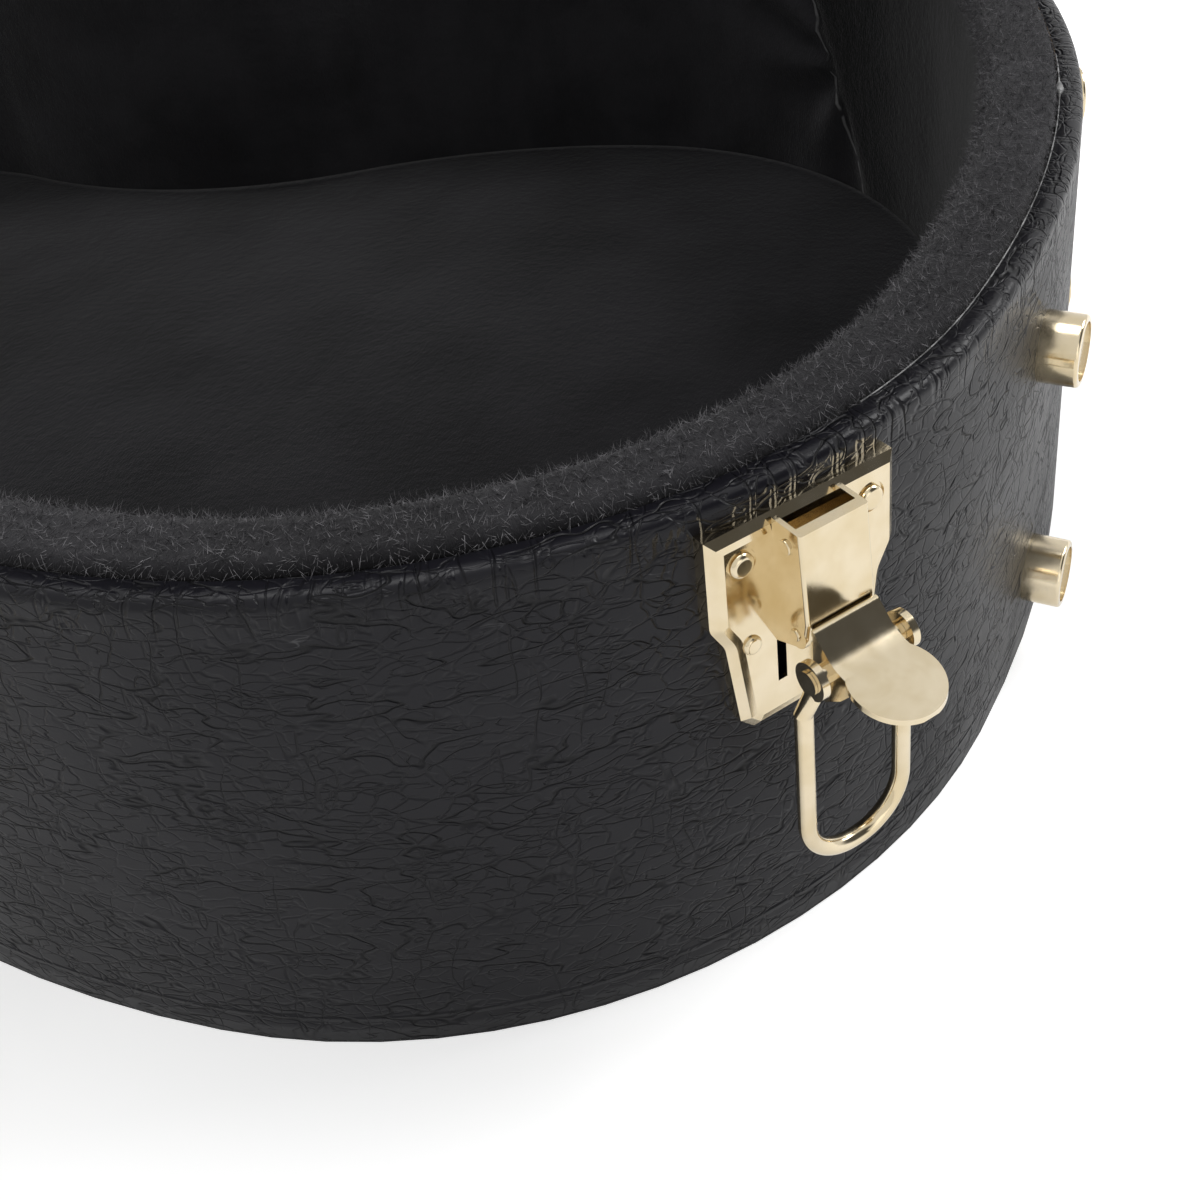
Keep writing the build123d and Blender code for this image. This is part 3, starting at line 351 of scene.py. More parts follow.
def plush(name, colour, source="UV", seam_and_painted_shade=False):
    """Short pile: brushed patches, fine fibre, and a sheen at grazing angles; its last flag adds the end wall's join
    and a painted shade on the wall beside the join.
    """
    finish = Finish(name)
    where = finish.coords(source)
    brushed = finish.noise(finish.warped(where, 9.0, 0.05), 13.0, 4.0, 0.6)
    streaks = finish.noise(finish.coords(source, (1.0, 0.22, 1.0)), 90.0, 3.0, 0.6)
    fibre = finish.noise(finish.coords(source, (1.0, 0.35, 0.35)), 1500.0, 3.0, 0.7)
    tufts = finish.noise(where, 300.0, 2.0)
    dark = tuple(c * 0.45 for c in colour)
    light = tuple(min(1.0, c * 2.1) for c in colour)
    base = finish.mix(brushed.ramp(0.34, 0.66) * 0.45 + fibre * 0.35 + streaks * 0.25, dark, light)
    if seam_and_painted_shade:
        along = finish.add("ShaderNodeSeparateXYZ", {}, {0: where}, out=0)
        up = finish.add("ShaderNodeSeparateXYZ", {}, {0: where}, out=1)
        wobble = finish.noise(where, 60.0, 2.0) * 0.004
        off = along - up * JOIN_SLANT - wobble - JOIN_RUN
        inside = up.ramp(0.108, 0.102)
        thread = off.size().ramp(0.0002, 0.0009, 1.0, 0.0) * inside * finish.noise(where, 120.0, 1.0).ramp(0.36, 0.5)
        # Painted shade: below the rim, the wall from the outline's start up to the join is darkened almost to black,
        # fading out near the start.
        shade = off.ramp(-0.004, 0.002, 1.0, 0.0) * along.ramp(0.0, 0.06) * inside * 0.8
        base = finish.mix(shade, base, (0.001, 0.001, 0.001))
        base = finish.mix(thread * 0.75, base, (0.22, 0.22, 0.22))
    normal = finish.bump(fibre * 0.6 + tufts * 0.5 + streaks * 0.5, 0.0009, 0.75)
    sheen = {"Sheen_Weight": 0.16, "Sheen_Roughness": 0.45}
    return finish.surface(Base_Color=base, Roughness=0.95, Normal=normal, Specular_IOR_Level=0.08, **sheen)


def pile_fibres():
    """Single hairs of the rim's pile, grey with paler ones among them."""
    finish = Finish("pile_fibres")
    shade = finish.noise(finish.coords("Object"), 600.0, 1.0).ramp(0.36, 0.66)
    base = finish.mix(shade, (0.030, 0.029, 0.032), (0.20, 0.195, 0.205))
    return finish.surface(Base_Color=base, Roughness=0.7, Specular_IOR_Level=0.3)


def thread_cotton():
    finish = Finish("thread")
    twist = finish.noise(finish.coords("Object"), 2600.0, 2.0)
    base = finish.mix(twist, (0.012, 0.012, 0.013), (0.05, 0.05, 0.052))
    return finish.surface(Base_Color=base, Roughness=0.75, Normal=finish.bump(twist, 0.0001, 0.6))


def dried_glue():
    finish = Finish("dried_glue")
    cloud = finish.noise(finish.coords("Object"), 300.0, 3.0)
    base = finish.mix(cloud.ramp(0.35, 0.7), (0.05, 0.05, 0.05), (0.34, 0.34, 0.34))
    return finish.surface(Base_Color=base, Roughness=0.4, Normal=finish.bump(cloud, 0.0002, 0.5))


def gilt():
    """Polished pale gold plating with faint rubbing marks."""
    finish = Finish("gilt_plate")
    where = finish.coords("Object")
    smears = finish.noise(finish.warped(where, 60.0, 0.01), 90.0, 3.0, 0.55)
    rubs = finish.noise(finish.coords("Object", (1.0, 1.0, 0.15), 0.6), 1600.0, 2.0)
    rough = smears.ramp(0.3, 0.75, 0.10, 0.17) + rubs.ramp(0.55, 0.75) * 0.04
    base = finish.mix(smears.ramp(0.3, 0.7), (0.69, 0.575, 0.375), (0.77, 0.665, 0.485))
    normal = finish.bump(smears * 0.6 + rubs * 0.05, 0.00012, 0.25)
    return finish.surface(Base_Color=base, Metallic=1.0, Roughness=rough, Normal=normal)


def bare_ply():
    finish = Finish("plywood")
    where = finish.coords("Object", (1.0, 1.0, 6.0))
    streaks = finish.noise(finish.warped(where, 20.0, 0.02), 60.0, 4.0, 0.6)
    base = finish.mix(streaks, (0.30, 0.19, 0.10), (0.50, 0.36, 0.21))
    return finish.surface(Base_Color=base, Roughness=0.7, Normal=finish.bump(streaks, 0.0003, 0.5))


def ribbon_weave():
    finish = Finish("ribbon")
    where = finish.coords("Object")
    ribs = finish.add("ShaderNodeTexWave", {"bands_direction": "Z"}, {"Vector": where, "Scale": 420.0})
    base = finish.mix(ribs, (0.015, 0.015, 0.017), (0.05, 0.05, 0.055))
    return finish.surface(Base_Color=base, Roughness=0.6, Normal=finish.bump(ribs, 0.0003, 0.6))


# Meshes


def linked(name, data):
    """A new object in the scene."""
    obj = bpy.data.objects.new(name, data)
    bpy.context.scene.collection.objects.link(obj)
    return obj


def coat(mesh, material):
    """Makes material the mesh's only one."""
    mesh.materials.clear()
    mesh.materials.append(material)


def new_object(name, vertices, faces, material, uvs=None, smooth=True):
    mesh = bpy.data.meshes.new(name)
    mesh.from_pydata([tuple(v) for v in vertices], [], [tuple(int(i) for i in f) for f in faces])
    if uvs is not None:
        layer = mesh.uv_layers.new(name="UVMap")
        layer.data.foreach_set("uv", np.asarray(uvs, dtype=np.float32).ravel())
    mesh.polygons.foreach_set("use_smooth", [smooth] * len(mesh.polygons))
    mesh.materials.append(material)
    mesh.update()
    return linked(name, mesh)


def baked(obj):
    """A new mesh of the object with its modifiers."""
    graph = bpy.context.evaluated_depsgraph_get()
    return bpy.data.meshes.new_from_object(obj.evaluated_get(graph))


def applied(obj):
    """Makes the object's modifiers part of its mesh."""
    mesh = baked(obj)
    obj.modifiers.clear()
    obj.data = mesh


@contextmanager
def edited(obj):
    """The object's mesh as an editable one, written back at the end."""
    bm = bmesh.new()
    bm.from_mesh(obj.data)
    yield bm
    bm.to_mesh(obj.data)
    bm.free()
    obj.data.update()


def facing_out(obj):
    """Turns the faces of a closed mesh outwards."""
    with edited(obj) as bm:
        if bm.calc_volume(signed=True) < 0:
            bmesh.ops.reverse_faces(bm, faces=bm.faces)
    return obj


def vertex_places(mesh):
    places = np.zeros(len(mesh.vertices) * 3)
    mesh.vertices.foreach_get("co", places)
    return places.reshape(-1, 3)


def plain_copy(node, name, material):
    """A CAD node's mesh as a new object, its loose triangles merged."""
    obj = linked(name, NODES[node].data.copy())
    with edited(obj) as bm:
        bmesh.ops.remove_doubles(bm, verts=bm.verts, dist=MERGE)
    coat(obj.data, material)
    return obj


def grid_faces(rows, width, start=0):
    """Quads between rows of width vertices each."""
    places = [start + r * width + c for r in range(rows - 1) for c in range(width - 1)]
    return [(a, a + 1, a + width + 1, a + width) for a in places]


def tube_faces(rings, around):
    """Quads between closed rings of around vertices each."""
    return [
        (j * around + i, j * around + (i + 1) % around, (j + 1) * around + (i + 1) % around, (j + 1) * around + i)
        for j in range(rings - 1)
        for i in range(around)
    ]


def swung(obj):
    """Swings a piece of the lid, built closed, to where it rests open."""
    joint = JOINTS["lid_hinge"]
    pivot, axis = Vector(joint["pos_m"]), Vector(joint["axis"])
    turn = Matrix.Rotation(-math.radians(joint["range_deg"][1]), 4, axis)
    obj.data.transform(Matrix.Translation(pivot) @ turn @ Matrix.Translation(-pivot))
    obj.data.update()
    return obj


def settle(obj, body, node=None):
    """Makes a piece ride on a body, and hides the CAD node whose place it takes."""
    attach(obj, body)
    if node:
        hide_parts(node)


# Hairs and stitches


class Growth:
    """A Geometry Nodes tree with named inputs, run once on an object and made a plain mesh."""

    def __init__(self, name, **inputs):
        self.tree = bpy.data.node_groups.new(name, "GeometryNodeTree")
        self.inputs, self.values = {}, {}
        self.tree.interface.new_socket("Geometry", in_out="INPUT", socket_type="NodeSocketGeometry")
        self.tree.interface.new_socket("Geometry", in_out="OUTPUT", socket_type="NodeSocketGeometry")
        kinds = {float: "NodeSocketFloat", int: "NodeSocketInt", tuple: "NodeSocketVector"}
        for key, value in inputs.items():
            kind = kinds.get(type(value), "NodeSocketMaterial")
            socket = self.tree.interface.new_socket(key.replace("_", " "), in_out="INPUT", socket_type=kind)
            self.inputs[key], self.values[socket.identifier] = socket.name, value
        self.start = self.tree.nodes.new("NodeGroupInput")
        self.end = self.tree.nodes.new("NodeGroupOutput")

    def __getitem__(self, key):
        return self.start.outputs[self.inputs.get(key, key)]

    def add(self, kind, settings=None, values=None, out=0):
        """Adds a node and gives one output, or all where out is None."""
        outputs = add_node(self.tree, kind, settings or {}, values or {})
        return outputs if out is None else outputs[out]

    def grown(self, obj, geometry, material):
        """Closes the tree, runs it on obj and puts the result in obj's place."""
        real = self.add("GeometryNodeRealizeInstances", {}, {0: geometry})
        made = self.add("GeometryNodeSetMaterial", {}, {"Geometry": real, "Material": self["Material"]})
        self.tree.links.new(made, self.end.inputs[0])
        modifier = obj.modifiers.new(self.tree.name, "NODES")
        modifier.node_group = self.tree
        for identifier, value in self.values.items():
            modifier[identifier] = value
        mesh, name = baked(obj), obj.name
        bpy.data.objects.remove(obj)
        coat(mesh, material)
        return linked(name, mesh)


def grow_pile(name, pad, density, length, width, lowest, between, seed):
    """Hairs standing and lying over the upper part of a pad, for x between two values."""
    material = pile_fibres()
    sizes = {"Density": density, "Length": length, "Width": width, "Lowest": lowest}
    g = Growth("pile", **sizes, From=between[0], To=between[1], Seed=seed, Material=material)
    place = g.add("GeometryNodeInputPosition")
    along, _, height = g.add("ShaderNodeSeparateXYZ", {}, {0: place}, out=None)
    tests = ((height, g["Lowest"]), (along, g["From"]), (g["To"], along))
    passed = [g.add("FunctionNodeCompare", {"operation": "GREATER_THAN"}, {0: a, 1: b}) for a, b in tests]
    chosen = passed[0]
    for test in passed[1:]:
        chosen = g.add("FunctionNodeBooleanMath", {"operation": "AND"}, {0: chosen, 1: test})
    spread = g.add(
        "GeometryNodeDistributePointsOnFaces",
        {},
        {"Mesh": g["Geometry"], "Selection": chosen, "Density": g["Density"], "Seed": g["Seed"]},
        out=None,
    )
    hair = g.add(
        "GeometryNodeMeshCone",
        {"fill_type": "NGON"},
        {"Vertices": 3, "Radius Top": 0.0, "Radius Bottom": g["Width"], "Depth": g["Length"]},
    )
    ranges = {0: (-1.25, -1.25, -3.1), 1: (1.25, 1.25, 3.1), "Seed": g["Seed"]}
    tilt = g.add("FunctionNodeRandomValue", {"data_type": "FLOAT_VECTOR"}, ranges)
    turn = g.add("FunctionNodeEulerToRotation", {}, {0: tilt})
    lean = g.add("FunctionNodeRotateRotation", {"rotation_space": "LOCAL"}, {0: spread["Rotation"], 1: turn})
    size = g.add("FunctionNodeRandomValue", {"data_type": "FLOAT"}, {2: 0.4, 3: 1.2, "Seed": g["Seed"]}, out=1)
    hairs = g.add(
        "GeometryNodeInstanceOnPoints",
        {},
        {"Points": spread["Points"], "Instance": hair, "Rotation": lean, "Scale": size},
    )
    return g.grown(linked(name, pad.data.copy()), hairs, material)


def stitch_row(name, points, spacing, length, thickness):
    """A row of thread stitches along a line of points."""
    material = thread_cotton()
    g = Growth("stitches", Spacing=spacing, Length=length, Thickness=thickness, Material=material)
    line = g.add("GeometryNodeMeshToCurve", {}, {"Mesh": g["Geometry"]})
    every = {"Curve": line, "Length": g["Spacing"]}
    marks = g.add("GeometryNodeCurveToPoints", {"mode": "LENGTH"}, every, out=None)
    stitch = g.add("GeometryNodeMeshIcoSphere", {}, {"Radius": 0.5, "Subdivisions": 2})
    shape = g.add("ShaderNodeCombineXYZ", {}, {0: g["Thickness"], 1: g["Thickness"], 2: g["Length"]})
    row = g.add(
        "GeometryNodeInstanceOnPoints",
        {},
        {"Points": marks["Points"], "Instance": stitch, "Rotation": marks["Rotation"], "Scale": shape},
    )
    mesh = bpy.data.meshes.new(name)
    mesh.from_pydata([tuple(p) for p in points], [(i, i + 1) for i in range(len(points) - 1)], [])
    return g.grown(linked(name, mesh), row, material)


# Padding


def ripple(*place):
    """Smooth noise between -1 and 1."""
    return noise.noise(Vector(place))


def flat(x, y):
    return 0.0


def floor_swell(x, y):
    return 0.0012 * ripple(x * 9, y * 9, 1.7) + 0.0004 * ripple(x * 40, y * 40, 4.2) - 0.0012


def lid_swell(x, y):
    return 0.0011 * ripple(x * 8, y * 8, 9.7) + 0.0004 * ripple(x * 36, y * 36, 2.2) + 0.0008


def soften_wall(grid, outline, profile):
    """Gives the wall pad the waviness of foam under plush, and the gathered folds beside its join."""
    normals = outline.normals
    top = profile[:, 1].max()
    for j, (t, z) in enumerate(profile):
        inner = t > profile[:, 0].mean()
        for i, s in enumerate(outline.run[:-1]):
            a, b = ripple(s * 14.0, z * 20.0, 3.1), ripple(s * 45.0, z * 60.0, 7.7)
            if inner:
                grid[j, i, :2] += normals[i] * (0.0007 * a + 0.0004 * b + 0.0004)
                beside = s - (FOLDS_RUN + JOIN_SLANT * z)
                if -0.004 < beside < 0.10 and z < top - 0.012:
                    fan = math.atan2(z - 0.062, beside + 0.012)
                    fade = math.exp(-((beside / 0.045) ** 2)) * min(1.0, (beside + 0.004) / 0.008)
                    grid[j, i, :2] += normals[i] * 0.0022 * (math.sin(fan * 9.0 + 2.0 * a) + 0.4) * fade
                grid[j, i, :2] += normals[i] * 0.0012 * math.exp(-((beside / 0.0025) ** 2)) * (z < top - 0.012)
            if z > top - 0.006:
                grid[j, i, 2] += 0.0007 * a + 0.0005 * b - 0.0006
    return grid


def lie_flat(pile, outline, wall):
    """Presses the hairs that reach over the covered rim down into the gap under the closed lid."""
    nearest = step_finder(outline)
    for vertex in pile.data.vertices:
        x, y, z = vertex.co
        if z > TRAY_TOP + 0.0004:
            i = nearest(x, y)
            inset = (outline.points[i] - np.array((x, y))) @ outline.normals[i]
            if inset < wall + 0.0003:
                vertex.co.z = TRAY_TOP + 0.0002 + 0.0002 * noise.random()
    pile.data.update()


def upholstered(node, name, material, voxel, inset, cap):
    """A padded block: its CAD solid drawn in, then blown up as cloth, each point moving at most cap."""
    obj = plain_copy(node, name, material)
    remesh = obj.modifiers.new("even", "REMESH")
    remesh.mode, remesh.voxel_size = "VOXEL", voxel
    applied(obj)
    smooth = obj.modifiers.new("soften", "SMOOTH")
    smooth.factor, smooth.iterations = 0.5, 3
    drawn_in = obj.modifiers.new("draw_in", "DISPLACE")
    drawn_in.strength, drawn_in.mid_level = -inset, 0.0
    applied(obj)
    start = vertex_places(obj.data)
    cloth = obj.modifiers.new("swell", "CLOTH")
    cloth.settings.use_pressure = True
    cloth.settings.uniform_pressure_force = PRESSURE
    cloth.settings.effector_weights.gravity = 0.0
    scene = bpy.context.scene
    for step in range(1, CLOTH_STEPS + 1):
        scene.frame_set(step)
    moved = vertex_places(baked(obj)) - start
    far = np.linalg.norm(moved, axis=1, keepdims=True)
    places = start + moved * np.minimum(1.0, cap / np.maximum(far, 1e-9))
    obj.modifiers.clear()
    obj.data.vertices.foreach_set("co", places.ravel())
    scene.frame_set(1)
    finer = obj.modifiers.new("finer", "SUBSURF")
    finer.levels = finer.render_levels = 1
    applied(obj)
    obj.data.polygons.foreach_set("use_smooth", [True] * len(obj.data.polygons))
    obj.data.update()
    settle(obj, body_of(NODES[node])[0], node)


# The outline and what is swept along it


class Outline:
    """Points round the case's plan with their outward normals, counter-clockwise from the butt end."""

    def __init__(self, s):
        def leg(hypotenuse, side):
            return math.sqrt(hypotenuse**2 - side**2)

        def unit(angle):
            return np.array((math.cos(angle), math.sin(angle)))

        def angle_of(v):
            return math.atan2(v[1], v[0])

        half = s.length / 2
        butt = np.array((half - s.butt_radius, 0.0))
        corner_y = s.lower_half - s.corner_radius
        corner = np.array((butt[0] + leg(s.butt_radius - s.corner_radius, corner_y), corner_y))
        side = np.array((corner[0], s.lower_half - s.side_radius))
        waist_y = s.waist_half + s.waist_radius
        waist = np.array((side[0] - leg(s.side_radius + s.waist_radius, waist_y - side[1]), waist_y))
        upper_y = s.upper_half - s.upper_radius
        upper = np.array((waist[0] - leg(s.waist_radius + s.upper_radius, waist_y - upper_y), upper_y))
        neck_angle = math.pi / 2 - s.neck_flare
        normal, along = unit(neck_angle), unit(neck_angle + math.pi / 2)
        line = normal @ np.array((-half, s.head_half))
        across = line + s.shoulder_radius
        reach = upper @ along + leg(s.upper_radius + s.shoulder_radius, across - upper @ normal)
        shoulder = normal * across + along * reach
        head_x = -half + s.head_radius
        head = np.array((head_x, (line - s.head_radius - normal[0] * head_x) / normal[1]))
        turn = angle_of(shoulder - upper)
        meets = [0.0, angle_of(corner - butt), math.pi / 2, angle_of(waist - side), angle_of(waist - upper)]
        arcs = [
            (butt, s.butt_radius, meets[0], meets[1]),
            (corner, s.corner_radius, meets[1], meets[2]),
            (side, s.side_radius, meets[2], meets[3]),
            (waist, -s.waist_radius, meets[3], meets[4]),
            (upper, s.upper_radius, meets[4], turn),
            (shoulder, -s.shoulder_radius, turn, neck_angle),
            (head, s.head_radius, neck_angle, math.pi),
        ]
        points, normals = [], []
        for centre, radius, start, end in arcs:
            steps = max(2, round(abs(radius * (end - start)) / s.spacing))
            if points:
                first = centre + unit(start) * radius
                gap = np.linalg.norm(first - points[-1])
                for k in range(1, round(gap / s.spacing)):
                    points.append(points[-1] + (first - points[-1]) / (round(gap / s.spacing) - k + 1))
                    normals.append(unit(start))
            for k in range(0 if not points or gap > s.spacing else 1, steps + 1):
                n = unit(start + (end - start) * k / steps)
                points.append(centre + n * radius)
                normals.append(n)
        end_y = points[-1][1]
        for k in range(1, round(end_y / s.spacing) + 1):
            points.append(np.array((-half, end_y * (1 - k / round(end_y / s.spacing)))))
            normals.append(np.array((-1.0, 0.0)))
        self.half_points, self.half_normals = np.array(points), np.array(normals)
        flip = np.array((1, -1))
        self.points = np.vstack([self.half_points, self.half_points[-2:0:-1] * flip])
        self.normals = np.vstack([self.half_normals, self.half_normals[-2:0:-1] * flip])
        steps = np.linalg.norm(np.roll(self.points, -1, 0) - self.points, axis=1)
        self.run = np.concatenate([[0.0], np.cumsum(steps)])

    def ring(self, inset, height):
        flat = self.points - self.normals * inset
        return np.column_stack([flat, np.full(len(flat), height)])

    def rows(self, inset):
        """Half outline moved in by inset: x and half width of each crosswise row."""
        return self.half_points - self.half_normals * inset


def make_outline():
    return Outline(bpy.context.scene.case_outline)


def step_finder(outline):
    """Finds the outline step nearest to a place in plan."""
    tree = kdtree.KDTree(len(outline.points))
    for i, p in enumerate(outline.points):
        tree.insert((p[0], p[1], 0.0), i)
    tree.balance()
    return lambda x, y: tree.find((x, y, 0.0))[1]


def unroll_sides(obj, outline):
    """Gives upright faces a UV of run along the outline and height, and level ones their plan."""
    layer = obj.data.uv_layers.new(name="UVMap")
    places = vertex_places(obj.data)
    corners = np.zeros(len(obj.data.loops), dtype=np.int64)
    obj.data.loops.foreach_get("vertex_index", corners)
    uvs = places[corners, :2].copy()
    nearest, whole = step_finder(outline), outline.run[-1]
    for face in obj.data.polygons:
        if abs(face.normal.z) < 0.6:
            loops = list(face.loop_indices)
            runs = np.array([outline.run[nearest(*places[corners[k], :2])] for k in loops])
            if runs.max() - runs.min() > whole / 2:
                runs[runs < whole / 2] += whole
            uvs[loops, 0] = runs
            uvs[loops, 1] = places[corners[loops], 2]
    layer.data.foreach_set("uv", uvs.astype(np.float32).ravel())


def sweep(name, outline, profile, material, shape=None):
    """Sweeps a closed profile of (inset, height) round the outline.

    shape may move the points: it takes the ring's points, normals, run and profile arrays.
    """
    profile = np.asarray(profile)
    count, rings = len(outline.points), len(profile)
    grid = np.stack([outline.ring(t, z) for t, z in profile])
    if shape is not None:
        grid = shape(grid, outline, profile)
    along = np.concatenate([[0.0], np.cumsum(np.linalg.norm(np.roll(profile, -1, 0) - profile, axis=1))])
    faces, uvs = [], []
    for j in range(rings):
        k = (j + 1) % rings
        for i in range(count):
            m = (i + 1) % count
            faces.append((j * count + i, j * count + m, k * count + m, k * count + i))
            a, b = outline.run[i], outline.run[i + 1]
            c, d = along[j], along[j + 1]
            uvs += [(a, c), (b, c), (b, d), (a, d)]
    obj = new_object(name, grid.reshape(-1, 3), faces, material, uvs)
    return facing_out(obj)


def sheet_rows(name, outline, profile, material, top=flat, underside=flat):
    """A closed slab that fills the outline.

    profile lists (inset, height) down the edge; its first point meets the top, its last the underside.
    top and underside give each face's extra height at x and y.
    """
    count, width = len(outline.points), SHEET_COLUMNS + 1
    half, low = outline.rows(profile[0][0]), outline.rows(profile[-1][0])
    vertices, faces = [], []

    def cap(rows, z, swell, order):
        """Adds a face from side to side and gives its first vertex."""
        start = len(vertices)
        for x, y in rows:
            vertices.extend((x, y * c, z + swell(x, y * c)) for c in np.linspace(-1, 1, width))
        faces.extend(quad[::order] for quad in grid_faces(len(rows), width, start))
        return start

    top_start = cap(half, profile[0][1], top, 1)
    bottom_start = cap(low, profile[-1][1], underside, -1)
    ring_start = len(vertices)
    for inset, height in profile[1:-1]:
        vertices.extend(outline.ring(inset, height))

    def edge_index(j, i):
        """Vertex of edge ring j at outline step i."""
        if 0 < j < len(profile) - 1:
            return ring_start + (j - 1) * count + i
        start = top_start if j == 0 else bottom_start
        return start + i * width + SHEET_COLUMNS if i < len(half) else start + (count - i) * width

    for j in range(len(profile) - 1):
        for i in range(count):
            m = (i + 1) % count
            faces.append((edge_index(j, i), edge_index(j + 1, i), edge_index(j + 1, m), edge_index(j, m)))
    obj = new_object(name, vertices, faces, material)
    with edited(obj) as bm:
        bmesh.ops.remove_doubles(bm, verts=bm.verts, dist=MERGE)
        bmesh.ops.dissolve_degenerate(bm, edges=bm.edges, dist=MERGE)
        bmesh.ops.recalc_face_normals(bm, faces=bm.faces)
    unroll_sides(obj, outline)
    return obj


def rounded(profile_corners, steps=ARC_STEPS):
    """Closed profile with each (inset, height, radius) corner rounded by an arc."""
    out = []
    n = len(profile_corners)
    for i, (t, z, r) in enumerate(profile_corners):
        p = np.array((t, z))
        a = np.array(profile_corners[i - 1][:2]) - p
        b = np.array(profile_corners[(i + 1) % n][:2]) - p
        a, b = a / np.linalg.norm(a), b / np.linalg.norm(b)
        if r <= 0:
            out.append(tuple(p))
            continue
        cut = r / math.tan(math.acos(max(-1.0, min(1.0, float(a @ b)))) / 2)
        p0, p1 = p + a * cut, p + b * cut
        centre = p + (a + b) / np.linalg.norm(a + b) * math.hypot(r, cut)
        for k in range(steps + 1):
            share = k / steps
            q = p0 * (1 - share) + p1 * share - centre
            out.append(tuple(centre + q / np.linalg.norm(q) * r))
    return out


def divided(profile, step):
    """Closed profile with its long sides divided."""
    out = []
    for a, b in zip(profile, profile[1:] + profile[:1]):
        a, b = np.array(a), np.array(b)
        parts = max(1, round(np.linalg.norm(b - a) / step))
        out += [tuple(a + (b - a) * k / parts) for k in range(parts)]
    return out


# Pieces


class CASE_OT_hardware(bpy.types.Operator):
    """Give the metal and wood nodes their finishes"""

    bl_idname = "case.hardware"
    bl_label = "Hardware"

    def execute(self, context):
        finishes = {"gold": gilt(), "plywood": bare_ply()}
        for entry in frame["record"]["subparts"]:
            if entry["material_slot"] in finishes:
                coat(NODES[entry["node"]].data, finishes[entry["material_slot"]])
        return {"FINISHED"}


class CASE_OT_covering(bpy.types.Operator):
    """Make the leather-grain covering of the tray's side and rim, and finish its underside"""

    bl_idname = "case.covering"
    bl_label = "Tray covering"

    def execute(self, context):
        c = context.scene.case_covering
        outline = make_outline()
        low, inner = c.thickness, c.wall
        corners = [
            (0.0, low, 0),
            (0.0, TRAY_TOP, c.rim_round),
            (inner, TRAY_TOP, 0),
            (inner, TRAY_TOP - low, 0),
            (low, TRAY_TOP - low, c.rim_round - low),
            (low, low, 0),
        ]
        profile = divided(rounded(corners), 0.004)
        material = vinyl("covering_grain", c.colour, edges=True)
        settle(sweep("tray_covering", outline, profile, material), "tray", "tray_side_covering")
        coat(NODES["tray_underside_covering"].data, vinyl("underside_grain", c.colour, "Object"))
        return {"FINISHED"}


class CASE_OT_tray_lining(bpy.types.Operator):
    """Make the tray's plush wall pad and floor"""

    bl_idname = "case.tray_lining"
    bl_label = "Tray lining"

    def execute(self, context):
        s = context.scene.case_lining
        outline = make_outline()
        top = TRAY_TOP + s.pad_rise
        corners = [
            (s.pad_inner, FLOOR_LOW, 0),
            (s.pad_inner, top - 0.0005, 0.0085),
            (s.pad_outer + 0.001, top, 0.0026),
            (s.pad_outer, TRAY_TOP - 0.003, 0),
            (s.pad_outer, FLOOR_LOW, 0),
        ]
        profile = divided(rounded(corners), 0.0045)
        material = plush("wall_plush", s.colour, seam_and_painted_shade=True)
        pad = sweep("wall_pad", outline, profile, material, soften_wall)
        settle(pad, "tray", "tray_wall_pad")
        edge = s.pad_inner + 0.0004
        profile = [(edge + 0.004, FLOOR_TOP), (edge + 0.0015, FLOOR_TOP - 0.001)]
        profile += [(edge, FLOOR_TOP - 0.004), (edge, FLOOR_LOW)]
        floor = sheet_rows("floor_pad", outline, profile, plush("floor_plush", s.floor_colour), floor_swell)
        settle(floor, "tray", "tray_floor_pad")
        return {"FINISHED"}


class CASE_OT_rim_pile(bpy.types.Operator):
    """Grow the hairs that stand out of the plush along the rim, and the bead of glue behind it"""

    bl_idname = "case.rim_pile"
    bl_label = "Rim pile"

    def execute(self, context):
        s = context.scene.case_lining
        pad = bpy.data.objects["wall_pad"]
        outline = make_outline()
        wall = context.scene.case_covering.wall
        noise.seed_set(11)
        low, reach = TRAY_TOP - 0.005, context.scene.case_outline.length
        for name, share, between in (("butt", 1.0, (THICK_PILE, reach)), ("neck", 0.33, (-reach, THICK_PILE))):
            density = s.pile_density * share
            pile = grow_pile("rim_pile_" + name, pad, density, s.pile, HAIR_RADIUS, low, between, HAIR_SEED)
            lie_flat(pile, outline, wall)
            settle(pile, "tray")
        chosen = [i for i, p in enumerate(outline.points) if p[0] > 0.44 and -0.15 < p[1] < 0.03]
        chosen.sort(key=lambda i: outline.points[i][1])
        rows, sides = [], 8
        for i in chosen:
            p, n = outline.points[i], outline.normals[i]
            centre = np.array((*(p - n * (wall + 0.0001)), TRAY_TOP + 0.00005))
            r = 0.00016 + 0.00022 * max(0.0, ripple(p[1] * 130, 2.0, 5.0))
            r += 0.0011 * math.exp(-(((p[1] - 0.0035) / 0.0032) ** 2))
            for k in range(sides):
                a = 2 * math.pi * k / sides
                rows.append(centre + np.array((*n, 0)) * r * math.cos(a) + np.array((0, 0, 1)) * r * math.sin(a))
        count = len(chosen)
        faces = tube_faces(count, sides)
        faces += [tuple(range(sides)), tuple((count - 1) * sides + k for k in reversed(range(sides)))]
        glue = new_object("glue_bead", rows, faces, dried_glue())
        settle(facing_out(glue), "tray")
        return {"FINISHED"}


